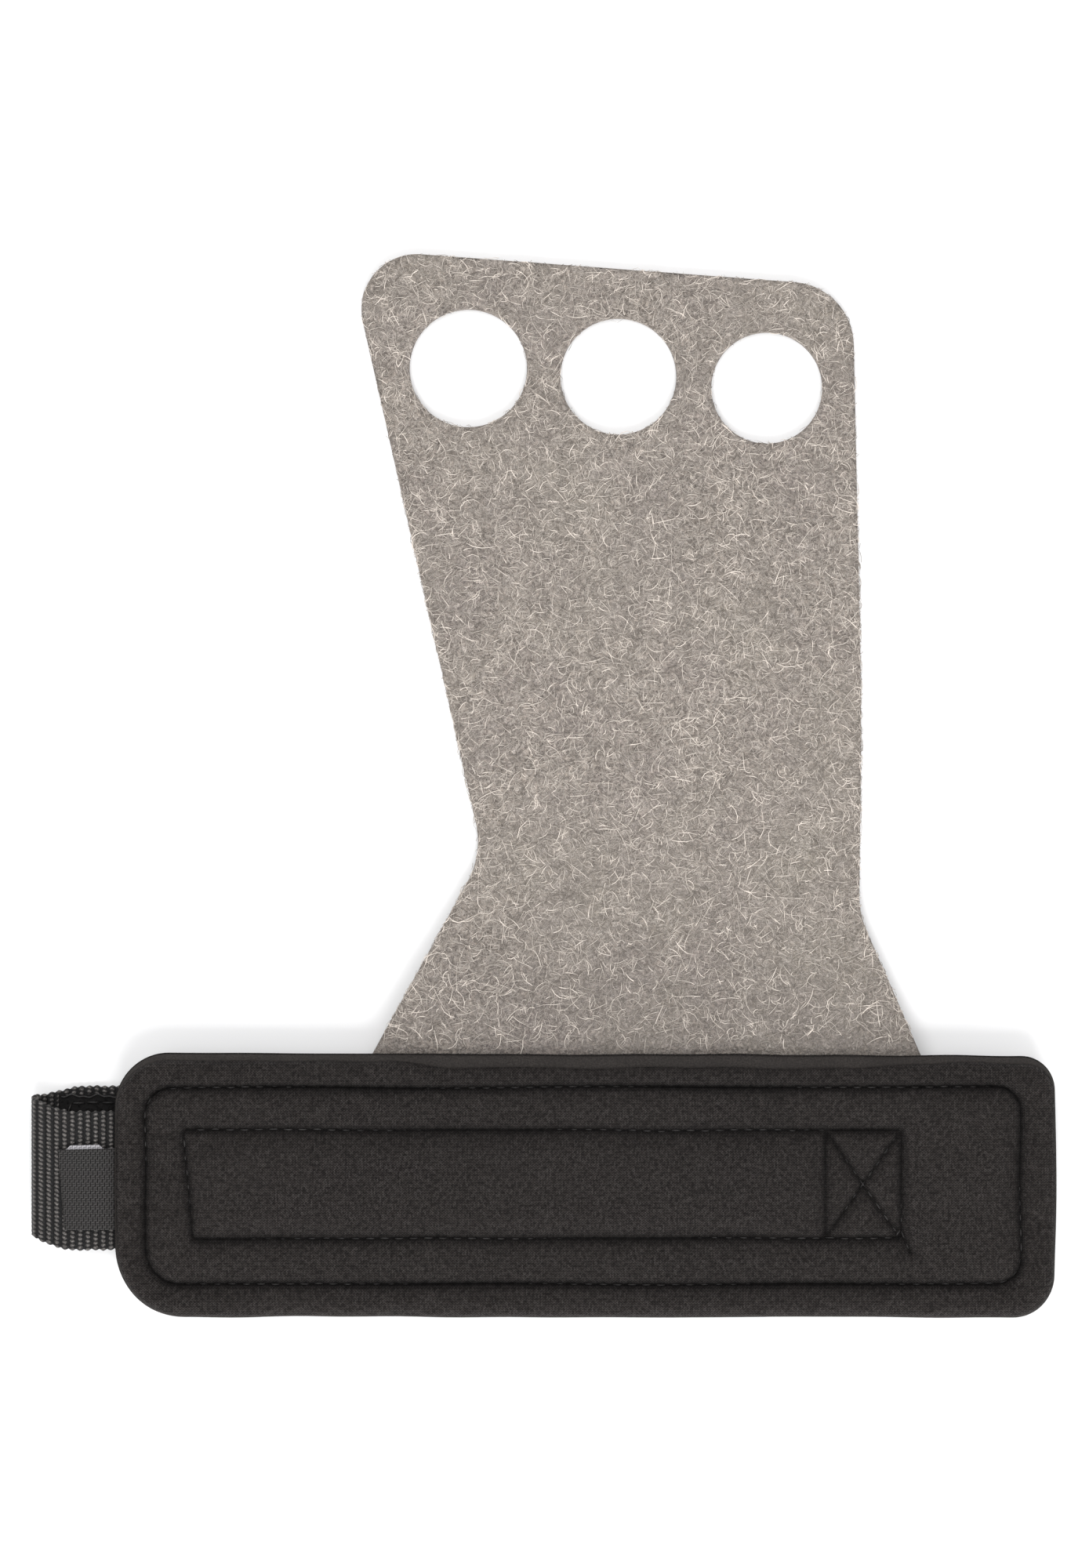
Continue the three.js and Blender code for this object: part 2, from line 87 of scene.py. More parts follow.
# %% Mesh makers
def make_piece(name, points, faces, smooth=True, **values):
    """A mesh object from points in millimetres, a list of face arrays and values for each point."""
    mesh = bpy.data.meshes.new(name)
    points = np.asarray(points).reshape(-1, 3)
    rows = [row for block in faces for row in np.asarray(block).tolist()]
    mesh.from_pydata((points * MM).tolist(), [], rows)
    mesh.polygons.foreach_set("use_smooth", np.full(len(rows), smooth))
    for key, value in values.items():
        layer = mesh.attributes.new(key, "FLOAT", "POINT")
        layer.data.foreach_set("value", np.asarray(value, np.float32).ravel())
    piece = bpy.data.objects.new(name, mesh)
    bpy.context.scene.collection.objects.link(piece)
    print(name, len(points), "points", len(rows), "faces")
    return piece


def grid_faces(rows, columns, wrap_rows=False, wrap_columns=False):
    """Four corners for each cell of a grid. The face looks along column step x row step."""
    r = np.arange(rows if wrap_rows else rows - 1)[:, None]
    c = np.arange(columns if wrap_columns else columns - 1)[None, :]
    r_next, c_next = (r + 1) % rows, (c + 1) % columns
    corners = [r * columns + c, r * columns + c_next, r_next * columns + c_next, r_next * columns + c]
    return np.stack(corners, axis=-1).reshape(-1, 4)


def tube_faces(rings, sides):
    """Faces of a tube of rings, each closed by its sides, with a flat cap on both ends."""
    first = np.arange(sides)[None, ::-1]
    last = (rings - 1) * sides + np.arange(sides)[None, :]
    return [grid_faces(rings, sides, wrap_columns=True), first, last]


def repeated(faces, count, points_each):
    """The faces of many copies of one shape whose points follow each other."""
    shift = (np.arange(count) * points_each)[:, None, None]
    return [(shift + np.asarray(block)[None]).reshape(-1, np.asarray(block).shape[1]) for block in faces]


def tubes(name, middle, radius, first, second, sides, start=0.0, **values):
    """Many thin tubes in one piece. middle has a row of ring middles for each tube, and a ring is
    its middle plus radius x (cosine x first + sine x second)."""
    count, rings = middle.shape[:2]
    turn = (np.linspace(0, 2 * np.pi, sides + 1)[:-1] + start)[:, None]
    ring = np.cos(turn) * first[..., None, :] + np.sin(turn) * second[..., None, :]
    faces = repeated(tube_faces(rings, sides), count, rings * sides)
    values = {key: np.repeat(value, rings * sides) for key, value in values.items()}
    return make_piece(name, middle[:, :, None] + radius * ring, faces, **values)


def ease(t):
    """Rises from 0 to 1 with level ends: three t squared less two t cubed."""
    t = np.clip(t, 0, 1)
    return t * t * (3 - 2 * t)


# %% [markdown]
# Flat goods are cut from an outline. An outline could be drawn point by point, but a few corners
# with a radius each say the same and stay easy to change. Distances to such a line then place
# seams, creases and hairs.


# %% Outlines and what is near them
TRIANGLE_HEIGHT = 0.866  # of a triangle whose sides are all 1
BLOCK = 2000  # points that are measured at a time, which keeps the arrays small


def rounded_outline(corners, step=0.6):
    """Sides joined by arcs: an arc's middle is radius over sin(half the corner) along the bisector."""
    corners = np.asarray(corners, float)
    path = []
    for i, (x, y, radius) in enumerate(corners):
        here = np.array([x, y])
        back = corners[i - 1, :2] - here
        ahead = corners[(i + 1) % len(corners), :2] - here
        back, ahead = back / np.linalg.norm(back), ahead / np.linalg.norm(ahead)
        half = np.arccos(np.clip(back @ ahead, -1, 1)) / 2
        if radius == 0:
            path.append(here[None])
            continue
        bisector = (back + ahead) / np.linalg.norm(back + ahead)
        middle = here + bisector * radius / np.sin(half)
        ends = [here + side * radius / np.tan(half) - middle for side in (back, ahead)]
        start, stop = (np.arctan2(end[1], end[0]) for end in ends)
        turn = (stop - start + np.pi) % (2 * np.pi) - np.pi
        angle = start + turn * np.linspace(0, 1, max(3, int(abs(turn) * radius / step) + 2))
        path.append(middle + radius * np.stack([np.cos(angle), np.sin(angle)], axis=1))
    return evenly(np.concatenate(path), step, closed=True)


def evenly(path, step, closed=False):
    """The same line with points a step apart, measured along it."""
    if closed:
        path = np.concatenate([path, path[:1]])
    along = np.concatenate([[0], np.cumsum(np.linalg.norm(np.diff(path, axis=0), axis=1))])
    count = max(3, int(round(along[-1] / step)) + 1)
    at = np.linspace(0, along[-1], count)
    even = np.stack([np.interp(at, along, path[:, k]) for k in range(path.shape[1])], axis=1)
    return even[:-1] if closed else even


def segments(path, closed):
    """Start and end points of the pieces of a line."""
    ends = np.roll(path, -1, axis=0) if closed else path[1:]
    return (path if closed else path[:-1]), ends


def nearest(points, path, closed):
    """Each point's distance to a line, and how far along the line its nearest place is."""
    start, end = segments(path, closed)
    side = end - start
    length = np.linalg.norm(side, axis=1)
    before = np.concatenate([[0], np.cumsum(length)[:-1]])
    best, along = np.full(len(points), np.inf), np.zeros(len(points))
    for block in np.array_split(np.arange(len(points)), max(1, len(points) // BLOCK)):
        offset = points[block, None] - start[None]
        t = np.clip((offset * side).sum(-1) / (length**2), 0, 1)
        far = np.linalg.norm(offset - t[..., None] * side, axis=-1)
        pick = far.argmin(axis=1)
        row = np.arange(len(block))
        best[block] = far[row, pick]
        along[block] = before[pick] + t[row, pick] * length[pick]
    return best, along


def inside(points, loop):
    """True where a ray to the right crosses the loop an odd number of times."""
    start, end = segments(loop, True)
    x, y = points[:, :1], points[:, 1:]
    crosses = (start[:, 1] > y) != (end[:, 1] > y)
    rise = np.where(end[:, 1] == start[:, 1], 1, end[:, 1] - start[:, 1])
    at = start[:, 0] + (y - start[:, 1]) / rise * (end[:, 0] - start[:, 0])
    return (crosses & (x < at)).sum(axis=1) % 2 == 1


def unit(vectors):
    """The same directions with length 1."""
    return vectors / np.linalg.norm(vectors, axis=1, keepdims=True)


def right_of(direction):
    """Unit vectors square to a line, on the right of its direction."""
    tangent = unit(direction)
    return np.stack([tangent[:, 1], -tangent[:, 0]], axis=1)


def outward(loop):
    """Unit vectors square to a loop that runs counterclockwise, pointing out of it."""
    return right_of(np.roll(loop, -1, axis=0) - np.roll(loop, 1, axis=0))


def within(points, loops):
    """True inside the first loop and outside all the others."""
    keep = inside(points, loops[0])
    for hole in loops[1:]:
        keep &= ~inside(points, hole)
    return keep


def filled(loops, spacing, seams=()):
    """Triangles that fill the first loop less the others. Points stand in a triangular lattice,
    and each loop and seam keeps its own points and edges. Returns points, triangles, loop rows."""
    low, high = loops[0].min(axis=0), loops[0].max(axis=0)
    columns = np.arange(low[0], high[0], spacing)
    rows = np.arange(low[1], high[1], spacing * TRIANGLE_HEIGHT)
    x, y = np.meshgrid(columns, rows)
    x = x + (np.arange(len(rows)) % 2)[:, None] * spacing / 2
    lattice = np.stack([x.ravel(), y.ravel()], axis=1)
    lattice = lattice[within(lattice, loops)]
    lines = [(loop, True) for loop in loops] + [(seam, closed) for seam, closed in seams]
    for line, closed in lines:
        lattice = lattice[nearest(lattice, line, closed)[0] > 0.6 * spacing]
    points, edges, first = [], [], 0
    for line, closed in lines:
        edges.append(np.stack(segments(first + np.arange(len(line)), closed), axis=1))
        points.append(line)
        first += len(line)
    given = np.concatenate(points + [lattice])
    flat, _, faces, sources, _, _ = delaunay_2d_cdt(
        [Vector(p) for p in given], np.concatenate(edges).tolist(), [], 0, 1e-5, True
    )
    flat = np.array([tuple(p) for p in flat])
    faces = np.array(faces)
    a, b, c = (flat[faces[:, k]] for k in range(3))
    turns_back = (b[:, 0] - a[:, 0]) * (c[:, 1] - a[:, 1]) < (b[:, 1] - a[:, 1]) * (c[:, 0] - a[:, 0])
    faces[turns_back] = faces[turns_back][:, ::-1]
    keep = within(flat[faces].mean(axis=1), loops)
    place = np.zeros(len(given), int)
    for new, olds in enumerate(sources):
        place[olds] = new
    starts = np.cumsum([0] + [len(loop) for loop in loops])
    return flat, faces[keep], [place[a:b] for a, b in zip(starts[:-1], starts[1:])]


def slab(name, loops, spacing, top, bottom, edge, flush):
    """A closed sheet. top and bottom give a level at each point of the plan, and edge lists
    (how far out, share of the way down) for the rows of its wall. Where it meets the next piece,
    on the level of Y called flush, the wall is plain and its corners are sharp."""
    flat, faces, rims = filled(loops, spacing)
    count = len(flat)
    upper = np.column_stack([flat, top(flat)])
    lower = np.column_stack([flat, bottom(flat)])
    points, blocks, first = [upper, lower], [faces, faces[:, ::-1] + count], 2 * count
    for rim in rims:
        out, size = outward(flat[rim]), len(rim)
        out *= (np.abs(flat[rim, 1:] - flush) > 0.01)
        rows = [rim]
        for reach, share in edge:
            level = upper[rim, 2] * (1 - share) + lower[rim, 2] * share
            points.append(np.column_stack([flat[rim] + out * reach, level]))
            rows.append(first + np.arange(size))
            first += size
        rows.append(rim + count)
        for above, below in zip(rows[:-1], rows[1:]):
            blocks.append(np.stack([above, below, np.roll(below, -1), np.roll(above, -1)], axis=1))
    piece = make_piece(name, np.concatenate(points), blocks)
    ends = np.zeros(2 * len(piece.data.edges), int)
    piece.data.edges.foreach_get("vertices", ends)
    on_cut = np.abs(np.concatenate(points)[ends, 1] - flush) < 0.01
    sharp = piece.data.attributes.new("sharp_edge", "BOOLEAN", "EDGE")
    sharp.data.foreach_set("value", on_cut.reshape(-1, 2).all(axis=1))
    return piece


# %% [markdown]
# ## Camera, light and floor
#
# The grip lies flat, so the camera looks straight down from 0.85 m through a long lens. One wide
# light comes from the cuff's side and a wider one fills from above, so that the cuff throws
# only a soft edge of shadow towards the palm.

# %% Camera, light and floor
CAMERA_PLACE = (0.00066, -0.00026, 0.85)  # nearly over the middle of the grip
VIEW_HEIGHT = 0.2878  # the stretch of floor that the view's height takes in
SENSOR = 36
FLOOR_HALF, FLOOR_LEVEL = 1500, -0.3

camera_data = bpy.data.cameras.new("camera")
camera_data.sensor_fit = "VERTICAL"
camera_data.sensor_height = SENSOR
camera_data.lens = SENSOR * CAMERA_PLACE[2] / VIEW_HEIGHT
camera = bpy.data.objects.new("camera", camera_data)
camera.location = CAMERA_PLACE
bpy.context.scene.collection.objects.link(camera)
bpy.context.scene.camera = camera


def area_light(name, place, size, power):
    """A square light of that size in metres which faces the origin."""
    data = bpy.data.lights.new(name, "AREA")
    data.size, data.energy = size, power
    light = bpy.data.objects.new(name, data)
    light.location = place
    light.rotation_euler = (-Vector(place)).to_track_quat("-Z", "Y").to_euler()
    bpy.context.scene.collection.objects.link(light)


area_light("key", (0.12, -0.75, 0.8), 0.6, 8.5)
area_light("fill", (-0.2, 0.5, 1.2), 1.3, 14.0)
area_light("rake", (0.05, -0.9, 0.28), 0.5, 4.0)

world = bpy.data.worlds.new("studio")
world.use_nodes = True
background = world.node_tree.nodes["Background"].inputs
background["Color"].default_value = (1, 1, 1, 1)
background["Strength"].default_value = 0.55
bpy.context.scene.world = world
bpy.context.scene.view_settings.view_transform = "Standard"

floor_material = bpy.data.materials.new("floor_paper")
floor_material.use_nodes = True
floor_shader = floor_material.node_tree.nodes["Principled BSDF"]
floor_shader.inputs["Base Color"].default_value = (0.90, 0.90, 0.905, 1)
floor_shader.inputs["Roughness"].default_value = 0.9
floor_shader.inputs["Specular IOR Level"].default_value = 0.1
floor_plan = FLOOR_HALF * np.array([[-1, -1], [1, -1], [1, 1], [-1, 1]])
floor_corners = np.column_stack([floor_plan, np.full(4, FLOOR_LEVEL)])
floor = make_piece("floor", floor_corners, [np.array([[0, 1, 2, 3]])])
floor.data.materials.append(floor_material)

# %% [markdown]
# ## Material tools
#
# Each finish is one Principled shader fed by a few small node groups: curly fibres for the nap,
# knit for the jersey, a weave for cloth and a soft mottle for all of them. The groups put out
# only masks and heights, and each material chooses its own colours.


# %% Node helpers
class Graph:
    """Adds nodes and links to one node tree with short calls."""

    def __init__(self, tree):
        self.tree = tree

    def node(self, kind, inputs=None, **settings):
        """A new node with its settings, and a value or a link for each input that is named."""
        made = self.tree.nodes.new(kind)
        for key, value in settings.items():
            setattr(made, key, value)
        for key, value in (inputs or {}).items():
            self.feed(made.inputs[key], value)
        return made

    def feed(self, socket, value):
        """Links a socket, or sets its number or its colour, which is opaque."""
        if isinstance(value, bpy.types.NodeSocket):
            self.tree.links.new(value, socket)
        else:
            socket.default_value = (*value, 1) if isinstance(value, tuple) else value

    def math(self, operation, *values):
        made = self.node("ShaderNodeMath", operation=operation)
        for socket, value in zip(made.inputs, values):
            self.feed(socket, value)
        return made.outputs[0]

    def plus(self, first, second):
        return self.math("ADD", first, second)

    def less(self, first, second):
        return self.math("SUBTRACT", first, second)

    def times(self, first, second):
        return self.math("MULTIPLY", first, second)

    def fit(self, value, low, high, to_low=0.0, to_high=1.0):
        """Eases a value from one range to another and keeps it there."""
        made = self.node("ShaderNodeMapRange", interpolation_type="SMOOTHSTEP")
        for socket, given in zip(made.inputs, (value, low, high, to_low, to_high)):
            self.feed(socket, given)
        return made.outputs[0]

    def mix(self, share, first, second):
        made = self.node("ShaderNodeMix", data_type="RGBA")
        self.feed(made.inputs["Factor"], share)
        self.feed(made.inputs["A"], first)
        self.feed(made.inputs["B"], second)
        return made.outputs["Result"]

    def noise(self, place, scale, detail=2.0, roughness=0.5, distortion=0.0):
        inputs = {"Vector": place, "Scale": scale, "Detail": detail, "Roughness": roughness}
        made = self.node("ShaderNodeTexNoise", {**inputs, "Distortion": distortion})
        return made.outputs["Fac"]


def new_group(name, inputs, outputs):
    """An empty node group with a Place vector and named numbers in and out."""
    tree = bpy.data.node_groups.new(name, "ShaderNodeTree")
    tree.interface.new_socket("Place", in_out="INPUT", socket_type="NodeSocketVector")
    for key, value in inputs.items():
        socket = tree.interface.new_socket(key, in_out="INPUT", socket_type="NodeSocketFloat")
        socket.default_value = value
    for key in outputs:
        tree.interface.new_socket(key, in_out="OUTPUT", socket_type="NodeSocketFloat")
    graph = Graph(tree)
    return graph, graph.node("NodeGroupInput").outputs, graph.node("NodeGroupOutput").inputs


# %% [markdown]
# The nap of suede is a felt of curly fibres. A level line of a noise field is a long curly line,
# so fibres are drawn where a noise is close to one half, from four fields of different size.


# %% Groups for fibres, knit and weave
FIBRE_FIELDS = [(0.0, 1.0, 1.2), (31.7, 1.45, 0.8), (67.1, 0.7, 1.6), (12.9, 2.0, 0.6)]


def fibre_group():
    """Mask: near 1 on curly lines. A line is where a noise is within Width of one half, and each
    field has its own shift, size and warp."""
    graph, given, out = new_group("curly_fibres", {"Size": 900.0, "Width": 0.03}, ["Mask", "Height"])
    masks = []
    for shift, grow, warp in FIBRE_FIELDS:
        moved = graph.node("ShaderNodeVectorMath", operation="ADD")
        graph.feed(moved.inputs[0], given["Place"])
        moved.inputs[1].default_value = (shift, shift * 0.7, 0)
        size = graph.times(given["Size"], grow)
        field = graph.noise(moved.outputs[0], size, 1.0, 0.4, warp)
        away = graph.math("ABSOLUTE", graph.less(field, 0.5))
        line = graph.fit(away, 0.0, given["Width"], 1.0, 0.0)
        patches = graph.noise(moved.outputs[0], graph.times(size, 0.4), 1.0)
        fade = graph.fit(patches, 0.38, 0.58, 0.3)
        masks.append(graph.times(line, fade))
    top = graph.math("MAXIMUM", masks[0], masks[1])
    under = graph.math("MAXIMUM", masks[2], masks[3])
    graph.feed(out["Mask"], graph.math("MAXIMUM", top, under))
    graph.feed(out["Height"], graph.plus(graph.times(top, 0.6), graph.times(under, 0.4)))
    return graph.tree


def knit_group():
    """Plain knit seen from its face: each wale holds two legs that lean together into a V.
    The phase of a loop is the course number plus how far the leg leans."""
    sizes = {"Wale": 0.00054, "Course": 0.00046}
    graph, given, out = new_group("plain_knit", sizes, ["Height", "PaintedGlint"])
    split = graph.node("ShaderNodeSeparateXYZ", {"Vector": given["Place"]})
    wobble = graph.times(graph.less(graph.noise(given["Place"], 160.0, 2.0), 0.5), 0.0002)
    across = graph.math("DIVIDE", graph.plus(split.outputs["X"], wobble), given["Wale"])
    along = graph.math("DIVIDE", graph.plus(split.outputs["Y"], wobble), given["Course"])
    leg = graph.math("ABSOLUTE", graph.less(graph.math("FRACT", across), 0.5))
    phase = graph.math("FRACT", graph.plus(along, graph.times(leg, 1.5)))
    from_top = graph.math("ABSOLUTE", graph.less(phase, 0.5))
    loop = graph.less(1.0, graph.times(from_top, 2.0))
    rounded = graph.math("SINE", graph.times(leg, 2 * np.pi))
    crown = graph.plus(0.35, graph.times(rounded, 0.65))
    height = graph.times(graph.math("POWER", loop, 0.7), crown)
    graph.feed(out["Height"], height)
    # A few loop crowns, picked at random, are marked for a painted glint.
    cells = graph.node("ShaderNodeTexWhiteNoise", noise_dimensions="2D")
    half_wale = graph.math("FLOOR", graph.times(across, 2.0))
    cell = graph.node("ShaderNodeCombineXYZ", {"X": half_wale, "Y": graph.math("FLOOR", along)})
    graph.feed(cells.inputs["Vector"], cell.outputs[0])
    rare = graph.math("POWER", cells.outputs["Value"], 4.0)
    graph.feed(out["PaintedGlint"], graph.times(height, rare))
    return graph.tree


def weave_group():
    """A plain or twill weave: two sets of threads as sines, each on top in turn along a slant."""
    graph, given, out = new_group("cloth_weave", {"Pitch": 0.0004, "Slant": 1.0}, ["Height"])
    split = graph.node("ShaderNodeSeparateXYZ", {"Vector": given["Place"]})
    counts = [graph.math("DIVIDE", split.outputs[k], given["Pitch"]) for k in ("X", "Y")]
    turns = [graph.times(count, np.pi) for count in counts]
    warp, weft = (graph.math("ABSOLUTE", graph.math("SINE", turn)) for turn in turns)
    slant = graph.plus(turns[0], graph.times(turns[1], given["Slant"]))
    which = graph.fit(graph.math("SINE", slant), -0.4, 0.4)
    over = graph.times(warp, which)
    under = graph.times(weft, graph.less(1.0, which))
    graph.feed(out["Height"], graph.plus(over, under))
    return graph.tree


def grit_group():
    """Soft mottle and fine grain from two noises, both near one half."""
    graph, given, out = new_group("mottle", {"Patch": 60.0, "Grain": 2500.0}, ["Patch", "Grain"])
    graph.feed(out["Patch"], graph.fit(graph.noise(given["Place"], given["Patch"], 3.0), 0.35, 0.65))
    graph.feed(out["Grain"], graph.fit(graph.noise(given["Place"], given["Grain"], 2.0), 0.3, 0.7))
    return graph.tree


FIBRES, KNIT, WEAVE, MOTTLE = fibre_group(), knit_group(), weave_group(), grit_group()
print("node groups", [group.name for group in bpy.data.node_groups])


# %% A finish
class Finish(Graph):
    """A material with one Principled shader, Object coordinates and calls for its inputs."""

    def __init__(self, name, roughness=0.8, specular=0.3):
        self.material = bpy.data.materials.new(name)
        self.material.use_nodes = True
        super().__init__(self.material.node_tree)
        self.shader = self.tree.nodes["Principled BSDF"]
        self.shader.inputs["Roughness"].default_value = roughness
        self.shader.inputs["Specular IOR Level"].default_value = specular
        self.place = self.node("ShaderNodeTexCoord").outputs["Object"]

    def group(self, tree, **inputs):
        return self.node("ShaderNodeGroup", {"Place": self.place, **inputs}, node_tree=tree).outputs

    def value(self, name):
        return self.node("ShaderNodeAttribute", attribute_name=name).outputs["Fac"]

    def paint(self, socket):
        self.feed(self.shader.inputs["Base Color"], socket)

    def bump(self, height, depth, strength=1.0):
        made = self.node("ShaderNodeBump", {"Height": height, "Distance": depth, "Strength": strength})
        self.feed(self.shader.inputs["Normal"], made.outputs["Normal"])


def sheen(finish, weight, roughness, tint):
    """Even sheen on the shader's own sockets."""
    for key, value in (("Weight", weight), ("Roughness", roughness), ("Tint", tint)):
        finish.feed(finish.shader.inputs["Sheen " + key], value)


# %% [markdown]
# ## Finishes
#
# Suede is pale fibre over a darker felt, with patches that the nap's lie makes lighter, olive
# or lilac, and painted shade where it rises to the cuff. Jersey, webbing, foam and thread are
# all dyed black, so they differ in how they scatter light: knit and pile have a soft sheen,
# thread and satin a small highlight. Painted shade darkens the gaps of the knit, its seams
# and the grooves of the webbing, and a few knit loops carry a painted glint.


# %% Suede and grain leather
def suede_finish():
    made = Finish("suede_nap", roughness=0.95, specular=0.15)
    fibres = made.group(FIBRES, Size=950.0, Width=0.075)
    mottle = made.group(MOTTLE, Patch=75.0, Grain=1700.0)
    wide = made.noise(made.place, 28.0, 3.0)
    felt = made.mix(mottle["Grain"], (0.070, 0.059, 0.050), (0.400, 0.345, 0.300))
    olive = made.mix(made.fit(wide, 0.42, 0.66, 0.0, 0.5), felt, (0.262, 0.240, 0.196))
    lilac = made.mix(made.times(mottle["Patch"], 0.2), olive, (0.250, 0.212, 0.222))
    hair = made.mix(mottle["Patch"], (0.50, 0.452, 0.412), (0.44, 0.395, 0.362))
    napped = made.mix(made.times(fibres["Mask"], 0.8), lilac, hair)
    # Painted shade: towards the cuff, where the leather rises and the cuff shades it, the nap is mixed a
    # third of the way to dark brown.
    level = made.node("ShaderNodeSeparateXYZ", {"Vector": made.place}).outputs["Y"]
    painted_cuff_shade = made.fit(made.plus(level, made.times(wide, 0.02)), -0.036, -0.004)
    made.paint(made.mix(painted_cuff_shade, made.mix(0.32, napped, (0.08, 0.068, 0.064)), napped))
    relief = made.plus(fibres["Height"], made.times(mottle["Grain"], 0.5))
    made.bump(relief, 0.0003, 1.0)
    sheen(made, 0.08, 0.6, (0.9, 0.85, 0.8))
    return made.material


def hair_finish():
    made = Finish("suede_hair", roughness=0.9, specular=0.2)
    made.paint(made.mix(made.value("shade"), (0.18, 0.157, 0.138), (0.86, 0.785, 0.715)))
    return made.material


SUEDE, HAIR = suede_finish(), hair_finish()


# %% Jersey, foam and panel cloth
def jersey_finish():
    made = Finish("jersey_knit", roughness=0.85, specular=0.08)
    knit = made.group(KNIT)
    mottle = made.group(MOTTLE, Patch=45.0, Grain=1800.0)
    # Painted shade: where the knit dips between loops the colour falls to near black, and the loop crowns
    # keep the yarn's colour.
    dark = made.mix(mottle["Patch"], (0.0025, 0.0020, 0.0020), (0.0050, 0.0041, 0.0040))
    yarn = made.mix(mottle["Grain"], (0.022, 0.019, 0.018), (0.070, 0.061, 0.057))
    lit = made.mix(knit["Height"], dark, yarn)
    # Painted glint: the marked crowns are mixed towards a pale grey.
    knitted = made.mix(made.times(knit["PaintedGlint"], 0.8), lit, (0.095, 0.086, 0.082))
    # Painted shade: the slot value darkens the knit almost to black in each seam and beside it.
    painted_seam_shade = made.times(made.value("slot"), 0.95)
    made.paint(made.mix(painted_seam_shade, knitted, (0.0012, 0.0011, 0.0011)))
    made.bump(made.plus(knit["Height"], made.times(mottle["Grain"], 0.4)), 0.0003, 1.0)
    sheen(made, 0.03, 0.5, (0.8, 0.75, 0.75))
    return made.material


def foam_finish():
    made = Finish("cut_foam", roughness=0.9, specular=0.1)
    mottle = made.group(MOTTLE, Patch=120.0, Grain=3200.0)
    shade = made.mix(mottle["Grain"], (0.025, 0.022, 0.021), (0.045, 0.040, 0.037))
    made.paint(made.mix(made.times(mottle["Patch"], 0.4), shade, (0.028, 0.025, 0.024)))
    made.bump(mottle["Grain"], 0.0001, 0.6)
    return made.material


def panel_finish():
    made = Finish("panel_cloth", roughness=0.7, specular=0.35)
    weave = made.group(WEAVE, Pitch=0.00045)["Height"]
    mottle = made.group(MOTTLE)
    dark = made.mix(mottle["Patch"], (0.010, 0.009, 0.009), (0.015, 0.014, 0.014))
    made.paint(made.mix(weave, dark, (0.034, 0.032, 0.031)))
    made.bump(weave, 0.0001, 0.8)
    return made.material


JERSEY, FOAM, PANEL = jersey_finish(), foam_finish(), panel_finish()


# %% Webbing, tape, thread, satin and steel
def webbing_finish():
    made = Finish("webbing_yarn", roughness=0.6, specular=0.25)
    mottle = made.group(MOTTLE, Patch=90.0, Grain=4200.0)
    relief = made.value("relief")
    yarn = made.mix(mottle["Grain"], (0.034, 0.031, 0.029), (0.185, 0.172, 0.163))
    # Painted shade: where the relief drops between ribs and beads the colour gives way to near black, and the
    # crowns keep the yarn's colour.
    made.paint(made.mix(made.fit(relief, 0.28, 1.0), (0.0015, 0.0013, 0.0015), yarn))
    made.bump(mottle["Grain"], 0.00008, 0.7)
    sheen(made, 0.05, 0.4, (0.8, 0.78, 0.76))
    return made.material


def plain_finish(name, dark, light, roughness, specular, grain=3000.0):
    """A dyed or moulded finish that varies a little with a fine grain and a soft mottle."""
    made = Finish(name, roughness=roughness, specular=specular)
    mottle = made.group(MOTTLE, Patch=80.0, Grain=grain)
    share = made.times(made.plus(mottle["Patch"], mottle["Grain"]), 0.5)
    made.paint(made.mix(share, dark, light))
    made.bump(mottle["Grain"], 0.00005, 0.7)
    return made.material


def satin_finish():
    made = Finish("label_satin", roughness=0.5, specular=0.15)
    weave = made.group(WEAVE, Pitch=0.00042, Slant=0.6)["Height"]
    black = made.mix(made.fit(weave, 0.2, 0.9), (0.003, 0.003, 0.003), (0.034, 0.032, 0.031))
    pale = made.mix(weave, (0.12, 0.115, 0.12), (0.40, 0.39, 0.41))
    made.paint(made.mix(made.value("inner_face"), black, pale))
    made.bump(weave, 0.0001, 0.8)
    sheen(made, 0.02, 0.3, (0.8, 0.8, 0.8))
    return made.material


WEBBING = webbing_finish()
LOOPS = plain_finish("loop_pile", (0.0015, 0.0015, 0.0015), (0.009, 0.008, 0.008), 0.8, 0.15)
TAPE_GROUND = plain_finish("tape_ground", (0.002, 0.002, 0.002), (0.010, 0.009, 0.009), 0.8, 0.15)
HOOKS = plain_finish("hook_plastic", (0.004, 0.004, 0.004), (0.012, 0.012, 0.012), 0.4, 0.5)
THREAD = plain_finish("thread", (0.007, 0.0065, 0.0065), (0.036, 0.033, 0.032), 0.42, 0.35, 5200.0)
SATIN = satin_finish()


def steel_finish():
    made = Finish("ring_plate", roughness=0.22, specular=0.5)
    made.shader.inputs["Metallic"].default_value = 1.0
    mottle = made.group(MOTTLE, Patch=150.0, Grain=6000.0)
    made.paint(made.mix(mottle["Patch"], (0.55, 0.55, 0.56), (0.66, 0.66, 0.67)))
    made.feed(made.shader.inputs["Roughness"], made.fit(mottle["Grain"], 0.0, 1.0, 0.16, 0.34))
    made.bump(mottle["Grain"], 0.00001, 0.4)
    return made.material


STEEL = steel_finish()
print("finishes", [material.name for material in bpy.data.materials])


def dress(piece, material, slot, *nodes, body=None):
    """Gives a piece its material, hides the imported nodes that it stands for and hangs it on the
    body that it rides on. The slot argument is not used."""
    piece.data.materials.append(material)
    if nodes:
        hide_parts(*nodes)
    if body:
        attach(piece, body)


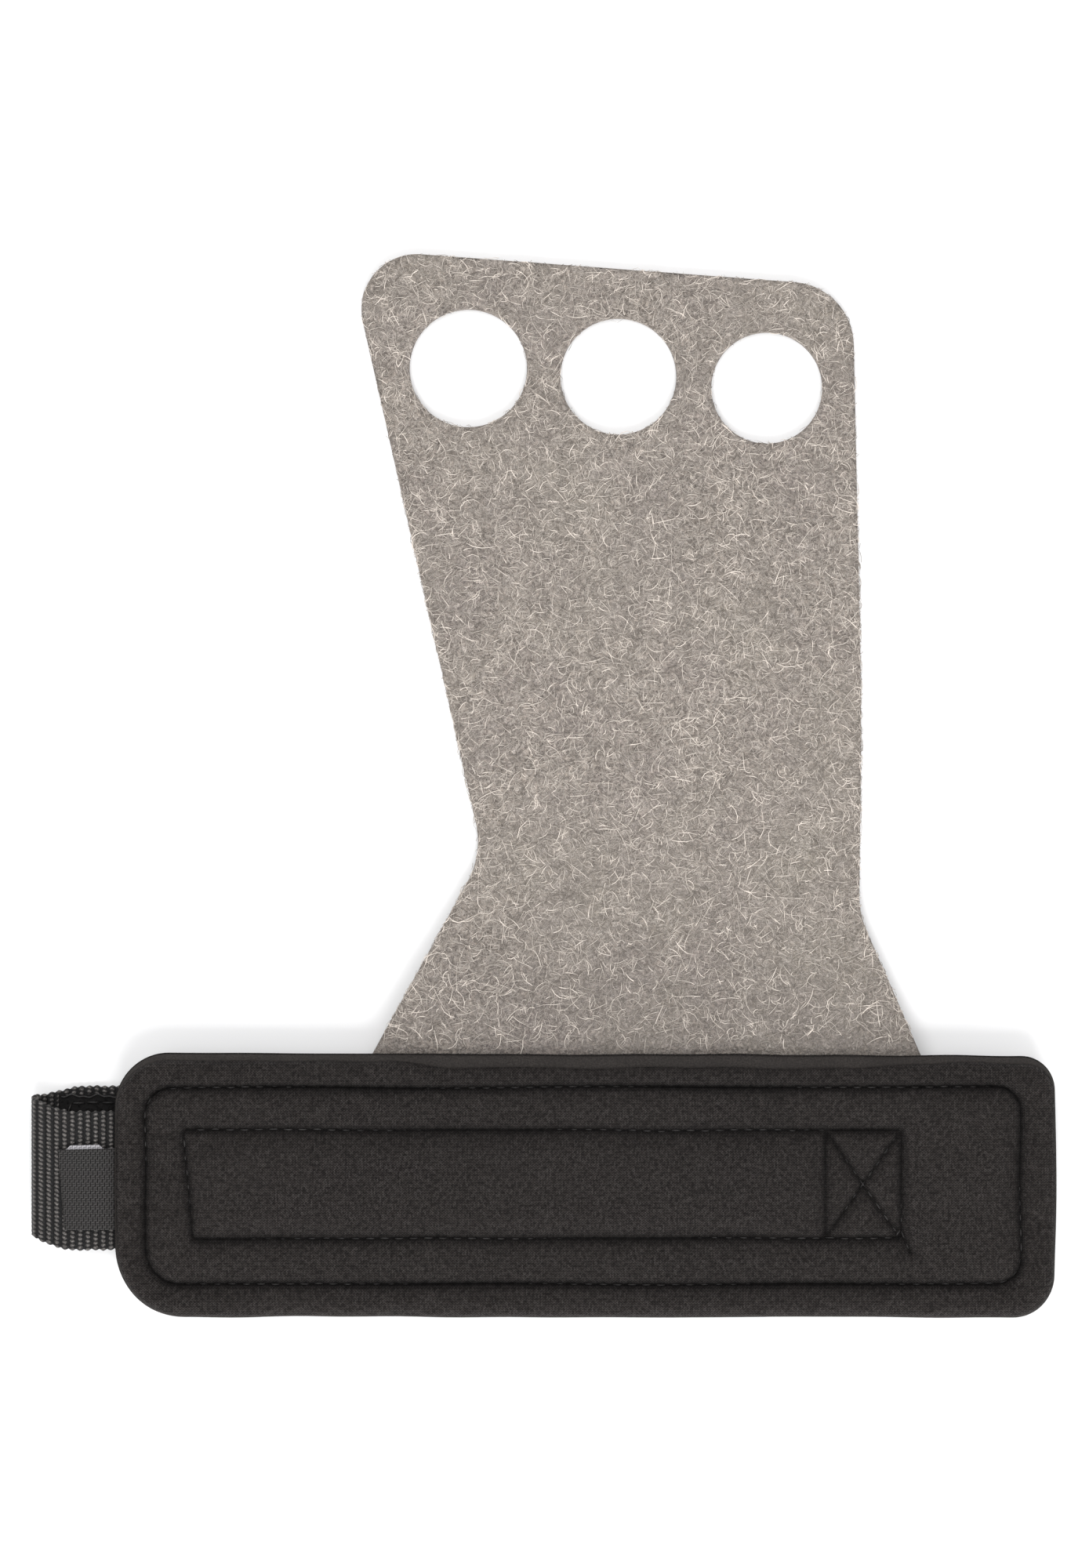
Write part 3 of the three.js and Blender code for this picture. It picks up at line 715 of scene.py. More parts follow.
# %% [markdown]
# ## The leather palm
#
# One piece of leather, two millimetres thick, lies flat at the fingers and rises under the cuff.
# It could be a box with its corners cut, but the outline is what one knows it by. So the outline
# is a polygon with rounded corners, filled with triangles round the holes, and its level is a
# function of the distance to the cuff. The real leather bends at the wrist and at the fingers.
# Here it is made in two pieces that meet in the middle of the palm, and they are not made to bend.

# %% The leather's outline
palm_low, palm_high = node_box("palm_leather")
tip_high = node_box("finger_leather")[1]
joint_place = {joint["name"]: np.array(joint["pos_m"]) / MM for joint in frame["joints"]}
wrist_fold = joint_place["wrist_fold"]
finger_fold = joint_place["finger_fold"]

SHIFT = cuff_low[:2] - np.array([-77.3, -96.3])  # from the pattern's own origin to the frame's
PATTERN = [  # corners of the leather as x, y and radius
    (-35.7, -57.5, 0),
    (72.5, -57.5, 0),
    (57.8, -23.4, 16),
    (58.4, 11.2, 900),
    (56.7, 91.5, 11.6),
    (-35.8, 98.4, 10.0),
    (-10.8, -12.4, 15.4),
]
HOLES = [(-13.6, 76.6, 10.9), (13.9, 75.1, 10.75), (41.1, 73.0, 10.3)]
SPLIT_Y = 20.0  # where the palm's mesh ends and the fingers' begins
LANDING_Y = -5.7  # the leather lies flat from here on
FLAT_MIDDLE = 1.0

leather_outline = rounded_outline(PATTERN, 0.7) + SHIFT
angle = np.linspace(2 * np.pi, 0, 97)[:-1]  # clockwise, so that out of the leather is into the hole
hole_loops = [
    np.array([x, y]) + SHIFT + radius * np.stack([np.cos(angle), np.sin(angle)], axis=1)
    for x, y, radius in HOLES
]
leather_loops = [leather_outline] + hole_loops
print("leather", np.ptp(leather_outline, axis=0).round(1), "mm,", len(hole_loops), "holes")


def wave(points, pitch, seed, amount):
    """A smooth random field: the mean of sines in five directions."""
    rng = np.random.default_rng(seed)
    total = np.zeros(len(points))
    for _ in range(5):
        heading, turn = rng.uniform(0, 2 * np.pi, 2)
        length = pitch * rng.uniform(0.7, 1.5)
        reach = points[:, 0] * np.cos(heading) + points[:, 1] * np.sin(heading)
        total += np.sin(2 * np.pi * reach / length + turn)
    return amount * total / 5


def leather_middle(points):
    """Level of the leather's middle: one millimetre on the flat, easing up to the cuff's underside."""
    share = (points[:, 1] - wrist_fold[1]) / (LANDING_Y - wrist_fold[1])
    return wrist_fold[2] + (FLAT_MIDDLE - wrist_fold[2]) * ease(share)


def leather_top(points):
    """Half the thickness above the middle, plus waves as fine as the nap and as wide as the palm."""
    nap = wave(points, 9.0, 3, 0.10) + wave(points, 2.6, 4, 0.06)
    return leather_middle(points) + 0.88 + nap + wave(points, 55, 5, 0.15) + 0.1


def leather_bottom(points):
    """Half the thickness below the middle, plus one fine wave: the grain side is smoother."""
    return leather_middle(points) - 0.95 + wave(points, 4.0, 6, 0.04)


def clipped(loop, level, upper):
    """The part of a counterclockwise loop on one side of a level of Y, closed straight across."""
    side = (loop[:, 1] > level) == upper
    start = np.flatnonzero(side & ~np.roll(side, 1))[0]
    loop, side = np.roll(loop, -start, axis=0), np.roll(side, -start)
    part = loop[side]
    ends = [(loop[-1], part[0]), (part[-1], loop[len(part)])]
    first, last = (a + (b - a) * (level - a[1]) / (b[1] - a[1]) for a, b in ends)
    across = last + (first - last) * np.linspace(0, 1, CUT_POINTS)[:, None]
    return np.concatenate([part, across])


CUT_POINTS = 140  # both meshes have the same points where they meet
CUT_EDGE = [(0.06, 0.1), (0.12, 0.3), (0.14, 0.6), (0.08, 0.9)]  # how far out, share of the way down
LEATHER_MESH = 0.85


def grain_finish():
    made = Finish("leather_grain", roughness=0.6, specular=0.35)
    inputs = {"Vector": made.place, "Scale": 1500.0}
    cells = made.node("ShaderNodeTexVoronoi", inputs, feature="DISTANCE_TO_EDGE")
    crease = made.fit(cells.outputs["Distance"], 0.0, 0.25)
    mottle = made.group(MOTTLE, Patch=60.0, Grain=1200.0)
    skin = made.mix(mottle["Patch"], (0.23, 0.20, 0.18), (0.30, 0.265, 0.24))
    made.paint(made.mix(crease, (0.15, 0.13, 0.118), skin))
    made.bump(made.plus(crease, made.times(mottle["Grain"], 0.3)), 0.00006, 0.7)
    return made.material


GRAIN = grain_finish()


def grain_side_down(piece):
    """The smooth side of the leather faces down: faces that look down take the second material."""
    piece.data.materials.append(GRAIN)
    normals = np.zeros(3 * len(piece.data.polygons))
    piece.data.polygons.foreach_get("normal", normals)
    piece.data.polygons.foreach_set("material_index", (normals[2::3] < -0.8).astype(int))


# %% The palm and the fingers
def leather(name, loops, *nodes):
    """One length of the leather: suede above, grain below."""
    piece = slab(name, loops, LEATHER_MESH, leather_top, leather_bottom, CUT_EDGE, SPLIT_Y)
    dress(piece, SUEDE, "suede", *nodes)
    grain_side_down(piece)
    return piece


palm_loop = clipped(leather_outline, SPLIT_Y, False)
finger_loop = clipped(leather_outline, SPLIT_Y, True)
palm_skin = leather("leather_palm", [palm_loop], "palm_leather_tab", "palm_leather")
finger_skin = leather("leather_fingers", [finger_loop] + hole_loops, "finger_leather")

# %% [markdown]
# The nap stands up in curls that catch the light, and it makes every cut edge fuzzy. A noise
# can't show at an edge, so tens of thousands of curled hairs lie on the leather as thin
# three-sided tubes. A hair's heading turns steadily along it, which bends it into an arc or a hook.


# %% Hairs
EDGE_SHARE = 0.12  # of the hairs that grow from a cut edge


def leather_spots(count, low_y, high_y):
    """Random places on the leather, some of them along its cut edges."""
    spots = dice.uniform((palm_low[0] - 5, low_y), (tip_high[0] + 12, high_y), (count * 4, 2))
    spots = spots[within(spots, leather_loops)][: int(count * (1 - EDGE_SHARE))]
    rim = np.concatenate(leather_loops)
    rim = rim[(rim[:, 1] > low_y + 0.5) & (rim[:, 1] < high_y - 0.5)]
    left = count - len(spots)
    edge = rim[dice.integers(0, len(rim), left)] + dice.normal(0, 0.2, (left, 2))
    return np.concatenate([spots, edge])


def hairs(name, spots, rings=5, sides=3):
    """Curled hairs: heading = start + curl x length + twist x length squared, on the leather.
    A hair whose middle or tip leaves the leather by more than a little is left out, and a thick
    hair is a light one."""
    count = len(spots)
    t = np.linspace(0, 1, rings)
    length = dice.gamma(3.0, 0.62, count) + 0.6
    curl, twist = dice.normal(0, 1.25, count), dice.normal(0, 1.0, count)
    heading = dice.uniform(0, 2 * np.pi, count)[:, None] + curl[:, None] * t + twist[:, None] * t**2
    step = length[:, None, None] / (rings - 1) * np.stack([np.cos(heading), np.sin(heading)], axis=-1)
    line = spots[:, None] + np.cumsum(step, axis=1) - step[:, :1]
    flat = line.reshape(-1, 2)
    tips = line[:, [rings // 2, -1]].reshape(-1, 2)
    leaves = nearest(tips, leather_outline, True)[0] * ~inside(tips, leather_outline)
    for hole in hole_loops:
        leaves = np.maximum(leaves, nearest(tips, hole, True)[0] * inside(tips, hole))
    keep = leaves.reshape(count, 2).max(axis=1) < dice.uniform(0.15, 0.6, count)
    lift = dice.uniform(0.02, 0.22, count)[:, None] * np.sin(np.pi * np.clip(t * 1.15, 0, 1))[None]
    level = leather_top(flat).reshape(count, rings) + lift
    middle = np.concatenate([line, level[..., None]], axis=-1)
    across = np.stack([-np.sin(heading), np.cos(heading), np.zeros_like(heading)], axis=-1)
    shade = dice.beta(1.1, 1.9, count)
    root = dice.uniform(0.033, 0.058, count) + 0.068 * shade**2
    radius = (root[:, None] * (1 - 0.75 * t[None] ** 2))[keep, :, None, None]
    return tubes(name, middle[keep], radius, across[keep], UP, sides, np.pi / 2, shade=shade[keep])


hair_bands = [
    ("hair_wrist", palm_low[1] + 1.0, -24.0, 5200),
    ("hair_heel", -24.0, -2.0, 5200),
    ("hair_palm", -2.0, SPLIT_Y, 5600),
    ("hair_middle", SPLIT_Y, finger_fold[1] - 20, 5400),
    ("hair_above", finger_fold[1] - 20, finger_fold[1] - 6, 4200),
    ("hair_fingers", finger_fold[1] - 6, finger_fold[1] + 14, 4700),
    ("hair_tips", finger_fold[1] + 14, tip_high[1], 4400),
]
hair_pieces = {}
for name, low_y, high_y, count in hair_bands:
    hair_pieces[name] = hairs(name, leather_spots(count, low_y, high_y))
    dress(hair_pieces[name], HAIR, "suede")


def bend(piece):
    """Bakes the piece's placing into its points; the piece is not hung on a body and does not turn."""
    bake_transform(piece)


for piece in (palm_skin, hair_pieces["hair_wrist"]):
    bend(piece)
for piece in (finger_skin, hair_pieces["hair_fingers"]):
    bend(piece)
for name in ("hair_heel", "hair_palm", "hair_middle", "hair_above"):
    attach(hair_pieces[name], "palm")
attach(hair_pieces["hair_tips"], "fingers")

# %% [markdown]
# ## The cuff
#
# The cuff is neoprene: foam between two knit skins, cut raw round its edge. Rows of stitching
# pull it down, and the foam swells between them. The wrist skin is a sheet whose seams and
# rim are pinned, and a cloth simulation with a little pressure lifts the rest. It starts from a
# worked-out shape: a level less a crease at each seam, which falls off with distance.

# %% Outline and seams of the cuff
CUFF_PATTERN = [
    (cuff_low[0] - 0.3, cuff_low[1] - 0.2, 12.6),
    (cuff_high[0] + 0.3, cuff_low[1] - 0.3, 7.6),
    (cuff_high[0] + 0.3, cuff_high[1] - 0.4, 6.2),
    (cuff_low[0] - 0.3, cuff_high[1] + 0.1, 9.6),
]
cuff_outline = rounded_outline(CUFF_PATTERN, 0.6)
cuff_out = outward(cuff_outline)
uneven = wave(cuff_outline, 22, 8, 0.22)
end_swell = np.abs(cuff_out[:, 0]) * ease(1 - np.abs(cuff_outline[:, 1] - cuff_outline[:, 1].mean()) / 22)
cuff_outline = cuff_outline + cuff_out * (uneven + 0.4 * end_swell - 0.15)[:, None]

outer_low, outer_high = node_box("perimeter_needle_thread")
strap_low, strap_high = node_box("strap_needle_thread")
cross_low = node_box("box_needle_thread")[0]
HALF_THREAD = 0.25


def box_corners(low, high, inset, radius, lean=0.0):
    """Four rounded corners a little inside a box, whose low X side may lean."""
    left, right, back, front = low[0] + inset, high[0] - inset, low[1] + inset, high[1] - inset
    plan = [(left + lean, back), (right, back), (right, front), (left - lean, front)]
    return [(x, y, radius) for x, y in plan]


def drifted(path, seed):
    """A line sewn by hand wanders a little."""
    return path + np.column_stack([wave(path, 30, seed, 0.25), wave(path, 34, seed + 1, 0.3)])


around_edge = box_corners(outer_low, outer_high, HALF_THREAD, 4.6)
around_edge[0] = (around_edge[0][0] - 0.8, around_edge[0][1], 6.4)
around_edge[3] = (around_edge[3][0] - 0.9, around_edge[3][1], 5.2)
perimeter = drifted(rounded_outline(around_edge, 0.5), 20)
around_strap = box_corners(strap_low, strap_high, HALF_THREAD, 0.7, 0.75)
strap_seam = drifted(rounded_outline(around_strap, 0.5), 24)
box_left = cross_low[0] + HALF_THREAD
seam_right, seam_back = strap_high[0] - HALF_THREAD, strap_low[1] + HALF_THREAD
seam_front = strap_high[1] - HALF_THREAD


def straight(start, end):
    """Points half a millimetre apart from one place to another."""
    return evenly(np.array([start, end], float), 0.5)


CROSS = [
    straight((box_left, seam_back + 0.7), (box_left, seam_front - 0.7)),
    straight((box_left + 0.5, seam_back + 0.7), (seam_right - 0.8, seam_front - 0.8)),
    straight((box_left + 0.5, seam_front - 0.7), (seam_right - 0.8, seam_back + 0.8)),
    straight((seam_right - 0.1, seam_back + 1.6), (seam_right + 1.5, seam_back - 2.6)),
]
seams = [(perimeter, True), (strap_seam, True)] + [(line, False) for line in CROSS]


def slant(points, out):
    """How far the raw edge slopes in towards the wrist side: most where the leather leaves the cuff."""
    over_leather = ease((points[:, 0] - palm_low[0] - 2) / 12) * ease((palm_high[0] - points[:, 0]) / 12)
    front = np.clip(out[:, 1], 0, 1) ** 2
    return 0.35 + front * (0.75 + 1.15 * over_leather) + 0.3 * wave(points, 18, 9, 1.0) * front


skin_outline = cuff_outline - cuff_out * slant(cuff_outline, cuff_out)[:, None]
print("cuff outline", len(cuff_outline), "points,", len(seams), "seams")

# %% [markdown]
# A cushion is often remeshed before it is inflated, but that would wipe out seams this narrow.
# Here the seams are in the triangles from the start, so their points can be pinned, and the
# same distances that press the creases in also give them painted shade.

# %% The wrist skin
FACE = 11.2
STITCH = 2.7
HOLLOW, SLOT = 1.8, 0.5  # how wide the cloth sinks beside a seam, and how wide the slot is
ROLL, ROLL_DEPTH = 3.4, 1.5  # how the skin rolls over at its rim
LOWEST = 8.6
SKIN_MESH = 0.62
CREASES = [(perimeter, True, 1.0), (strap_seam, True, 0.85)] + [(line, False, 0.72) for line in CROSS]


def wrist_face(points):
    """Level of the wrist skin and the share of painted shade at each point: dark in a seam's slot
    and fading beside it. The level is flat, less a wide hollow exp(-distance / HOLLOW) and a narrow
    slot exp(-(distance / SLOT) squared) at each seam, less a quarter circle that rolls the rim over.
    The cloth puckers at each stitch."""
    level = np.full(len(points), FACE) + wave(points, 26, 31, 0.14) + wave(points, 7, 33, 0.05)
    slot = np.zeros(len(points))
    for path, closed, depth in CREASES:
        away, along = nearest(points, path, closed)
        pucker = 1 + 0.1 * np.cos(2 * np.pi * along / STITCH) * np.exp(-((away / 1.6) ** 2))
        narrow = np.exp(-((away / SLOT) ** 2))
        level -= pucker * (0.85 * depth * np.exp(-away / HOLLOW) + 1.1 * (depth * narrow))
        # Painted shade for the jersey: most in the slot, fading over about 1.6 mm beside it.
        shadow = 0.68 * narrow + 0.32 * np.exp(-away / 1.6)
        slot = np.maximum(slot, depth**0.5 * shadow)
    rim = np.clip(nearest(points, skin_outline, True)[0] / ROLL, 0, 1)
    return np.maximum(level - ROLL_DEPTH * (1 - np.sqrt(1 - (1 - rim) ** 2)), LOWEST), slot


GROW = 20 * MM  # the sheet is simulated twenty times its size, which suits the solver
CLOTH_FRAMES = 12
MOST_SWELL = 0.6


def swollen(flat, level, faces, held):
    """How far each point moves in a cloth simulation: seams and rim pinned, a little pressure."""
    mesh = bpy.data.meshes.new("sheet_under_pressure")
    mesh.from_pydata((np.column_stack([flat, level]) * GROW).tolist(), [], faces.tolist())
    sheet = bpy.data.objects.new("sheet_under_pressure", mesh)
    bpy.context.scene.collection.objects.link(sheet)
    pins = sheet.vertex_groups.new(name="pins")
    pins.add(held.tolist(), 1.0, "REPLACE")
    cloth = sheet.modifiers.new("cloth", "CLOTH")
    cloth.settings.quality = 4
    cloth.settings.mass = 0.2
    cloth.settings.tension_stiffness = cloth.settings.compression_stiffness = 25
    cloth.settings.shear_stiffness = 10
    cloth.settings.bending_stiffness = 1.0
    cloth.settings.shrink_min = -0.02
    cloth.settings.vertex_group_mass = "pins"
    cloth.settings.use_pressure = True
    cloth.settings.uniform_pressure_force = 6
    cloth.settings.effector_weights.gravity = 0
    cloth.point_cache.frame_start, cloth.point_cache.frame_end = 1, CLOTH_FRAMES
    for number in range(1, CLOTH_FRAMES + 1):
        bpy.context.scene.frame_set(number)
    settled = sheet.evaluated_get(bpy.context.evaluated_depsgraph_get()).to_mesh()
    after = np.zeros(3 * len(flat), np.float32)
    settled.vertices.foreach_get("co", after)
    bpy.context.scene.frame_set(1)
    bpy.data.objects.remove(sheet)
    moved = after.reshape(-1, 3) / GROW - np.column_stack([flat, level])
    far = np.linalg.norm(moved, axis=1, keepdims=True)
    print("cloth moved", far.max().round(2), "mm at most")
    return moved * np.minimum(1, MOST_SWELL / np.maximum(far, 1e-9))


beside = [(path + outward(path) * reach, True) for path in (perimeter, strap_seam) for reach in (-0.42, 0.42)]
flat, faces, (rim,) = filled([skin_outline], SKIN_MESH, seams + beside)
level, slot = wrist_face(flat)
skin_points = np.column_stack([flat, level])
seam_gap = np.min([nearest(flat, path, closed)[0] for path, closed in seams], axis=0)
skin_points += swollen(flat, level, faces, np.union1d(np.flatnonzero(seam_gap < 0.05), rim))
# The slot value rides along as painted shade for the seams.
wrist_skin = make_piece("cuff_wrist_skin", skin_points, [faces], slot=slot)
thick = wrist_skin.modifiers.new("thickness", "SOLIDIFY")
thick.thickness, thick.offset = 0.5 * MM, -1
dress(wrist_skin, JERSEY, "jersey", "pad_inner_jersey", body="wrist")

# %% [markdown]
# The foam and the outer skin show only at their cut edge. Cloth would be wasted on them, so each
# is one wall that slopes between two outlines, closed above and below.


# %% The foam core and the outer skin
FOAM_BACK = 7.5
SKIN_FRONT, SKIN_BACK = 7.48, 6.9


def between(name, upper, lower, top, bottom, bulge, material, slot, node):
    """A closed slab between two outlines at levels top and bottom: rows of points at shares of the
    way down its wall, pushed out by a sine bulge, then two rows inwards on either cap."""
    out = outward(lower)
    rows = []
    for share in np.linspace(0, 1, 7):
        ring = upper * (1 - share) + lower * share + out * bulge * np.sin(np.pi * share)
        rows.append(np.column_stack([ring, top * (1 - share) + bottom * share]))
    for inset in (2.0, 6.0):
        ring = upper - outward(upper) * inset
        rows.insert(0, np.column_stack([ring, top - 1.9 * ease(inset / 3)]))
        ring = lower - out * inset
        rows.append(np.column_stack([ring, bottom]))
    size = len(lower)
    caps = [np.arange(size)[None, :], (len(rows) - 1) * size + np.arange(size)[None, ::-1]]
    faces = [grid_faces(len(rows), size, wrap_columns=True)[:, ::-1]] + caps
    piece = make_piece(name, np.concatenate(rows), faces)
    dress(piece, material, slot, node, body="wrist")
    return piece


under_skin = np.interp(np.arange(len(skin_outline)), np.arange(len(rim)), skin_points[rim, 2]) - 0.5
flat_level = np.ones(len(cuff_outline))
foam_core = between(
    "cuff_foam", skin_outline + cuff_out * 0.05, cuff_outline,
    under_skin, FOAM_BACK * flat_level, 0.12, FOAM, "foam", "pad_foam_core",
)
between(
    "cuff_outer_skin", cuff_outline + cuff_out * 0.12, cuff_outline + cuff_out * 0.05,
    SKIN_FRONT * flat_level, SKIN_BACK * flat_level, 0.1, JERSEY, "jersey", "pad_outer_jersey",
)

# %% [markdown]
# ## Sewing thread
#
# A lockstitch shows as a row of short loops that dive into the cloth at both ends. One stitch
# is a bent tube, and it is set along each seam at the machine's pitch of 2.7 mm.


# %% Stitches
def stitches(name, runs, side, radius=0.13, rings=7, sides=6):
    """One tube per stitch: along the seam by a share of the pitch, up by a half sine, ends sunk.
    Each run is (plan line, closed, level of its points)."""
    starts, steps = [], []
    for path, closed, level in runs:
        line = np.column_stack([path, level])
        line = evenly(np.concatenate([line, line[:1]]) if closed else line, STITCH)
        starts.append(line[:-1])
        steps.append(np.diff(line, axis=0))
    start, step = np.concatenate(starts), np.concatenate(steps)
    t = np.linspace(0, 1, rings)
    share = (0.1 + 0.8 * t)[None, :, None]
    up = UP * side
    lift = (radius * 2.8 * np.sin(np.pi * t) ** 1.1 - radius * 2.0)[None, :, None]
    middle = start[:, None] + step[:, None] * share + up * lift
    across = np.cross(unit(step), up)[:, None]
    middle += across * dice.normal(0, 0.06, (len(start), 1, 1))
    width = (radius * (1 - 0.45 * np.abs(2 * t - 1) ** 3))[None, :, None, None]
    return tubes(name, middle, width, across * side, up * side, sides)


def sew(name, runs, body, node, side=1):
    """Stitches that stand for a packed thread: side is 1 on a top and -1 on an underside."""
    dress(stitches(name, runs, side), THREAD, "thread", node, body=body)


def on_face(path, closed):
    """A seam on the wrist skin, sunk in its slot."""
    return path, closed, wrist_face(path)[0] - 0.04


sew("perimeter_stitches", [on_face(perimeter, True)], "wrist", "perimeter_needle_thread")
sew("strap_stitches", [on_face(strap_seam, True)], "wrist", "strap_needle_thread")
sew("cross_stitches", [on_face(line, False) for line in CROSS], "wrist", "box_needle_thread")


def at_level(path, closed, level):
    """A seam that lies on one level."""
    return path, closed, np.full(len(path), level)


def round_box(node, radius, level):
    """A rectangle of stitches in the place of a packed thread."""
    path = rounded_outline(box_corners(*node_box(node), HALF_THREAD, radius), 0.5)
    return at_level(path, True, level)


under_tab = node_box("palm_leather_tab")[0][2]
leather_low, leather_high = node_box("leather_bobbin_thread")
leather_y = leather_low[1] + HALF_THREAD
leather_line = straight((leather_low[0], leather_y), (leather_high[0], leather_y))
box_low, box_high = node_box("box_bobbin_thread")
under_box = box_low[2] - 0.1
IN = 0.6  # the cross stops short of the box's corners
box_diagonals = [
    straight((box_low[0] + IN, box_low[1] + IN), (box_high[0] - IN, box_high[1] - IN)),
    straight((box_low[0] + IN, box_high[1] - IN), (box_high[0] - IN, box_low[1] + IN)),
]
bobbin_runs = {
    "perimeter": [round_box("perimeter_bobbin_thread", 4.2, node_box("outer_panel")[0][2])],
    "leather": [at_level(leather_line, False, under_tab)],
    "strap": [round_box("strap_bobbin_thread", 0.8, node_box("sewn_loop_tape")[0][2])],
    "box": [round_box("box_bobbin_thread", 0.8, under_box)]
    + [at_level(line, False, under_box) for line in box_diagonals],
}
for part, runs in bobbin_runs.items():
    sew(f"{part}_bobbin", runs, "wrist", f"{part}_bobbin_thread", -1)
tape_top = node_box("free_loop_tape")[1][2]
for part in ("free_loop", "hook"):
    for name, kind, level, side in (("stitches", "needle", tape_top, 1), ("bobbin", "bobbin", 0.12, -1)):
        node = f"{part}_{kind}_thread"
        sew(f"{part}_{name}", [round_box(node, 0.8, level)], "strap_end", node, side)

# %% [markdown]
# ## The webbing strap
#
# Webbing is woven with thick cords across it. Each cord shows as a row of beads where the
# lengthwise yarns pass over it, and the row turns back in a small loop at the edge. The strap
# is one band along one path: the cut end, the loop round the ring's bar, the run sewn under the
# cuff, the fold, and the free run beneath. Ribs and beads are real relief on both faces.

# %% The strap's path
bend_low, bend_high = node_box("strap_bend")
run_low, run_high = node_box("strap_free_run")
tape_low, tape_high = node_box("sewn_loop_tape")
ring_low, ring_high = node_box("strap_ring")
HALF_WEB = 0.7
CREST = 3.9  # the level where the fold stands out furthest
sewn_z = bend_high[2] - HALF_WEB
sewn_y, free_y = (tape_low[1] + tape_high[1]) / 2 + 0.35, (run_low[1] + run_high[1]) / 2
fold_y = (bend_low[1] + bend_high[1]) / 2 - 0.6
WIRE = 1.2  # the ring's wire, from its middle to its surface
bar_x, bar_z = ring_low[0] + WIRE, (ring_low[2] + ring_high[2]) / 2
bar_reach = sewn_z - bar_z
ply_left, ply_z = box_low[0] - 1.1, box_low[2] - 0.1 + HALF_WEB
fold_left = bend_low[0] + HALF_WEB


def bezier(a, b, c, d, count=60):
    """A cubic curve from a to d that leaves towards b and arrives from c."""
    t = np.linspace(0, 1, count)[:, None]
    a, b, c, d = (np.array(point, float) for point in (a, b, c, d))
    return (1 - t) ** 3 * a + 3 * (1 - t) ** 2 * t * b + 3 * (1 - t) * t**2 * c + t**3 * d


turn = np.radians(np.linspace(-120, 90, 50))
bar_loop = np.stack([bar_x + bar_reach * np.cos(turn), bar_z + bar_reach * np.sin(turn)], axis=1)
crest = (fold_left, CREST)
above = bezier((cuff_low[0] + 2.5, sewn_z), (cuff_low[0] - 5, sewn_z + 0.1), (fold_left, 8.6), crest)
below_fold = bezier(crest, (fold_left, 0.9), (fold_left + 3.5, HALF_WEB), (fold_left + 10, HALF_WEB))
side_view = [
    np.array([(ply_left, ply_z), (box_high[0] + 0.5, ply_z)]),
    bar_loop,
    np.array([(bar_x - 1, sewn_z)]),
    above,
    below_fold[1:],
    np.array([(run_high[0], HALF_WEB)]),
]
RIB = 1.4
BEAD = 0.78
SAMPLES = 12  # points along the strap for each rib
strap_path = evenly(np.concatenate(side_view), RIB / SAMPLES)
fold_at = int(strap_path[:, 0].argmin())
edge_gap = np.abs(strap_path[:, 0] - (cuff_low[0] + 3.0))
enter, leave = int(edge_gap[:fold_at].argmin()), fold_at + int(edge_gap[fold_at:].argmin())
print("strap", round(len(strap_path) * RIB / SAMPLES), "mm long")


def strap_centre(x, index):
    """Where the strap's middle is across the cuff: straight when sewn, slanting to the fold."""
    sewn_side = sewn_y + (fold_y - sewn_y) * np.clip((cuff_low[0] - 8 - x) / 8.2, 0, 1) ** 1.6
    free_side = free_y + (fold_y - free_y) * ease((fold_left + 9 - x) / 9)
    return np.where(index <= fold_at, sewn_side, free_side)


def webbing(name, first, last, every, columns, nodes, body=None):
    """Points on a band: centre + across x Y + height x the path's normal, where the height is
    half the thickness with a rib for each cord and a bead for each yarn that crosses it."""
    index = np.arange(first, last + 1, every)
    index[-1] = last
    path = strap_path[index]
    normal = right_of(np.gradient(strap_path, axis=0)[index])
    rib_turn = 2 * np.pi * (index[:, None] - fold_at) / SAMPLES
    rib = 0.5 + 0.5 * np.cos(rib_turn)
    half = 12.35 - 0.25 + 0.3 * rib**0.7 + 0.05 * np.sin(rib_turn * 0.37)
    edge = np.linspace(0, np.pi, 7)[1:-1]
    flat_share = np.linspace(-1, 1, columns)
    across = np.concatenate([flat_share, 1 + 0.03 * np.sin(edge), -flat_share, -1 - 0.03 * np.sin(edge)])
    side = np.concatenate([np.ones(columns), np.cos(edge), -np.ones(columns), -np.cos(edge)])
    offset = across[None] * half
    number = np.round((index[:, None] - fold_at) / SAMPLES)
    bead = 0.5 + 0.5 * np.cos(2 * np.pi * offset / BEAD + np.pi * number + 0.5 * np.sin(rib_turn + offset))
    relief = rib**0.6 * (0.4 + 0.6 * bead)
    height = side[None] * (0.36 + 0.34 * relief) * np.where(np.abs(across) > 1, 0.8, 1.0)
    centre = strap_centre(path[:, 0], index)[:, None]
    x = path[:, :1] + normal[:, :1] * height
    z = path[:, 1:] + normal[:, 1:] * height
    points = np.stack([x, centre + offset, z], axis=-1)
    piece = make_piece(name, points, tube_faces(*relief.shape), relief=relief)
    dress(piece, WEBBING, "webbing", *nodes, body=body)
    return piece


webbing("webbing_sewn", 0, enter, 4, 92, ["strap_sewn_run"], "wrist")
fold_top = webbing("webbing_fold_top", enter, fold_at, 1, 200, ["strap_bend"])
fold_under = webbing("webbing_fold_under", fold_at, leave, 1, 200, [])
webbing("webbing_free", leave, len(strap_path) - 1, 4, 92, ["strap_free_run"], "strap_end")
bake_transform(fold_top)
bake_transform(fold_under)

# %% [markdown]
# ## Hook and loop tape
#
# Loop tape is a thin woven ground with a pile of small loops, and hook tape has rows of
# moulded hooks. The ground is a thin band with a selvage that waves a little, and each loop or
# hook is one short tube, copied over the tape.


